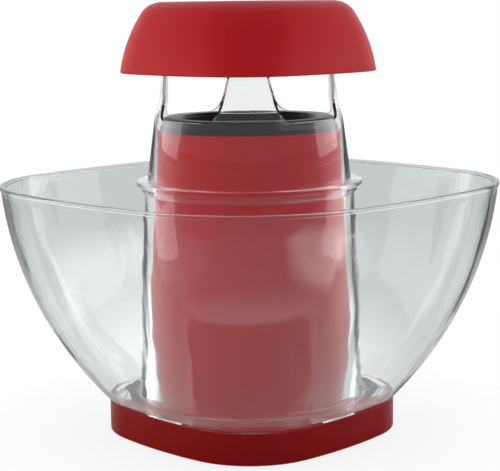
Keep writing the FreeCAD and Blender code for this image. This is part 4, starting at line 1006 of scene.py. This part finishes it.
def seen_directly(nodes):
    """1 for what the camera sees, also through clear plastic, and 0 once light has been reflected."""
    rays = nodes.add("ShaderNodeLightPath").outputs
    seen = nodes.math("MAXIMUM", rays["Is Camera Ray"], rays["Is Transmission Ray"])
    reflected = nodes.math("ADD", rays["Glossy Depth"], rays["Diffuse Depth"])
    return nodes.math("MULTIPLY", seen, nodes.math("LESS_THAN", reflected, 0.5))


def clear_tint_and_painted_shade(nodes, spot):
    """Colour of the clear plastic, with painted shade: grey-green in the bowl's walls where they are turned
    away from the eye.
    """
    flat = nodes.vector("MULTIPLY", spot, (1.0, 1.0, 0.0))
    apart = nodes.vector("LENGTH", flat, output="Value")
    outer = nodes.ramp(apart, (PAINTED_SHADE_STARTS * MM, PAINTED_SHADE_FULL * MM))
    outwards = nodes.vector("NORMALIZE", flat)
    eye = nodes.add("ShaderNodeNewGeometry").outputs["Incoming"]
    facing = nodes.vector("DOT_PRODUCT", eye, outwards, output="Value")
    behind = nodes.ramp(facing, (TURNED_AWAY, -TURNED_AWAY))
    # painted shade: the bowl's far walls turn grey-green only as the eye sees them
    painted_shade_share = nodes.math("MULTIPLY", nodes.math("MULTIPLY", outer, behind), seen_directly(nodes))
    return nodes.colours(painted_shade_share, PLAIN_CLEAR, FAR_WALL_PAINTED_SHADE)


def clear_moulding():
    """Bowl and chimney: clear plastic with a slow moulding ripple, which lets lamplight through unbent."""
    finish, nodes, shader = new_finish("clear_moulding", Roughness=0.025, IOR=1.49, Transmission_Weight=1.0)
    spot = nodes.spot()
    nodes.feed(shader.inputs["Base Color"], clear_tint_and_painted_shade(nodes, spot))
    drawn = nodes.out("ShaderNodeMapping", {"Vector": spot, "Scale": (1.0, 1.0, 0.35)})
    ripple = nodes.noise(drawn, RIPPLE_SCALE, 1.5)
    nodes.feed(shader.inputs["Normal"], nodes.bump(ripple, RIPPLE_DEPTH))
    shadow = nodes.add("ShaderNodeLightPath").outputs["Is Shadow Ray"]
    open_air = nodes.out("ShaderNodeBsdfTransparent", {"Color": (0.99, 0.995, 0.995, 1.0)})
    both = nodes.shaders(shadow, shader.outputs["BSDF"], open_air)
    depth = nodes.out("ShaderNodeVolumeAbsorption", {"Color": (0.5, 0.6, 0.58, 1.0), "Density": 4.0})
    end = finish.node_tree.nodes["Material Output"]
    nodes.feed(end.inputs["Surface"], both)
    nodes.feed(end.inputs["Volume"], depth)
    return finish


# Stage

def soft_lamp(name, place, aim, size, power, mirrored):
    """A rectangular lamp; a mirrored one shows its own shape through the clear pieces."""
    data = bpy.data.lights.new(name, "AREA")
    data.shape = "RECTANGLE"
    data.size, data.size_y = size
    data.energy = power
    lamp = new_object(name, data)
    lamp.location = place
    lamp.visible_glossy = False
    lamp.visible_transmission = mirrored
    lamp.rotation_euler = (Vector(aim) - Vector(place)).to_track_quat("-Z", "Y").to_euler()


def studio_world():
    """A pale room that lights the object more from its sides than from above.

    In reflections it is dim on the camera's side, white behind the object and bright overhead, and the
    clear walls also mirror a card up on each side. Past the floor the camera sees plain white.
    """
    world = bpy.data.worlds.new("studio")
    world.use_nodes = True
    bpy.context.scene.world = world
    nodes = Nodes(world.node_tree)
    heading = nodes.split(nodes.add("ShaderNodeTexCoord").outputs["Generated"])
    right, left = CARD_LIGHT
    card = nodes.math("ADD", nodes.ramp(heading["X"], CARD_SPAN, 0.0, right),
                      nodes.ramp(heading["X"], [-end for end in CARD_SPAN], 0.0, left))
    card = nodes.math("MULTIPLY", card, nodes.ramp(heading["Z"], CARD_FOOT))
    card = nodes.math("MULTIPLY", card, nodes.ramp(heading["Z"], CARD_TOP, 1.0, 0.0))
    rays = nodes.add("ShaderNodeLightPath").outputs
    mirrored = nodes.math("MINIMUM", rays["Glossy Depth"], 1.0)
    in_clear_wall = nodes.math("MULTIPLY", mirrored, nodes.math("MINIMUM", rays["Transmission Depth"], 1.0))
    lighting = nodes.ramp(heading["Z"], ROOM_SPAN, *ROOM_LIGHT)
    mirror = nodes.ramp(heading["Y"], MIRROR_SPAN, *MIRROR_LIGHT)
    mirror = nodes.math("ADD", mirror, nodes.ramp(heading["Z"], OVERHEAD_SPAN, 0.0, OVERHEAD_LIGHT))
    room = nodes.math("MULTIPLY_ADD", mirrored, nodes.math("SUBTRACT", mirror, lighting), lighting)
    room = nodes.math("MULTIPLY_ADD", in_clear_wall, card, room)
    light = nodes.out("ShaderNodeBackground", {"Color": ROOM_COLOUR, "Strength": room})
    white = nodes.out("ShaderNodeBackground", {"Color": WHITE, "Strength": 1.0})
    both = nodes.shaders(seen_directly(nodes), light, white)
    nodes.feed(world.node_tree.nodes["World Output"].inputs["Surface"], both)


def white_floor():
    """Finish of the floor: the camera sees it white, with the object's soft shadow close by.

    It throws pale light back at the object, and is grey in reflections, so that clear edges stay dark.
    """
    finish, nodes, shader = new_finish("white_floor", Roughness=0.9)
    apart = nodes.vector("LENGTH", nodes.spot(), output="Value")
    far = nodes.ramp(apart, SHADOW_SPAN, SHADOW_COVER)
    seen = seen_directly(nodes)
    grey = nodes.ramp(apart, FLOOR_SPAN, *FLOOR_MIRRORED)
    lighting = nodes.math("MINIMUM", nodes.add("ShaderNodeLightPath").outputs["Diffuse Depth"], 1.0)
    pale = nodes.math("MAXIMUM", nodes.math("MULTIPLY", seen, FLOOR_SEEN),
                      nodes.math("MULTIPLY", lighting, FLOOR_BOUNCE))
    nodes.feed(shader.inputs["Base Color"], nodes.math("MAXIMUM", pale, grey))
    white = nodes.out("ShaderNodeEmission", {"Color": WHITE, "Strength": 1.0})
    both = nodes.shaders(nodes.math("MULTIPLY", seen, far), shader.outputs["BSDF"], white)
    nodes.feed(finish.node_tree.nodes["Material Output"].inputs["Surface"], both)
    return finish


def studio_floor():
    mesh = bpy.data.meshes.new("floor")
    half = FLOOR_HALF_WIDTH
    corners = [(-half, -half, 0), (half, -half, 0), (half, half, 0), (-half, half, 0)]
    mesh.from_pydata(corners, [], [(0, 1, 2, 3)])
    mesh.materials.append(white_floor())
    new_object("floor", mesh)


def photograph_camera():
    data = bpy.data.cameras.new("camera")
    data.lens = CAMERA_LENS
    camera = new_object("camera", data)
    turn = Euler((QUARTER_TURN - CAMERA_PITCH, 0, 0)).to_matrix() @ Matrix.Rotation(CAMERA_ROLL, 3, "Z")
    camera.matrix_world = Matrix.Translation(CAMERA_PLACE) @ turn.to_4x4()
    bpy.context.scene.camera = camera


turned_shell = turned_shell_tree()
ring_of_pieces = ring_tree()
moulded_grain = moulded_grain_group()
metal_lines = metal_lines_group()

satin = red_satin("cap_red", CAP_RED)
black = moulding(*BLACK_MOULDING)
clear = clear_moulding()
screw_steel = metal(*SCREW_STEEL)
finishes = {node: metal(*values) for node, values in METALS.items()}
finishes |= {node: moulding(*values) for node, values in MOULDINGS.items()}
finishes["base_housing"] = red_gloss()
# painted light: the tower's red is lighter than the cap's
finishes["tower_housing"] = red_satin("tower_red", LIT_TOWER_RED)
finishes["cap_shell"] = satin
finishes["mica_board_cross"] = finishes["mica_board_wide"]
finishes["thermal_fuse"] = finishes["thermostat"]
for name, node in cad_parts.items():
    node.material_slots[0].material = finishes.get(name, screw_steel if name.endswith("screws") else black)

dressed = [
    (make_bowl(clear), "bowl", "bowl", "clear_plastic"),
    (make_chimney(clear), "chimney", "chimney", "clear_plastic"),
    (make_cap(satin), "cap_shell", "cap", "red_satin"),
]
rubber = finishes["rubber_feet"]
feet = ring_piece("dimpled_feet", foot_mesh(rubber), QUARTERS, FOOT_CIRCLE, 0.0, rubber)
dressed.append((feet, "rubber_feet", "base", "foot_rubber"))
for node, (count, circle, first_turn, head_down, body) in SCREW_RINGS.items():
    screw = screw_mesh(level(node, 0), level(node, 1), head_down)
    ring = ring_piece(node.replace("screws", "screw_ring"), screw, count, circle, first_turn, screw_steel)
    dressed.append((ring, node, body, "screw_steel"))
for piece, node, body, slot in dressed:
    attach(piece, body)
    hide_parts(node)

marks = make_rocker_marks(moulding(*WHITE_PRINT))
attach(marks, "rocker")

studio_world()
studio_floor()
for lamp in LAMPS:
    soft_lamp(*lamp)
photograph_camera()
bpy.context.scene.view_settings.view_transform = "Standard"

# Light runs a long way inside the clear walls
bpy.context.scene.cycles.max_bounces = 24
bpy.context.scene.cycles.glossy_bounces = 16
bpy.context.scene.cycles.transmission_bounces = 24
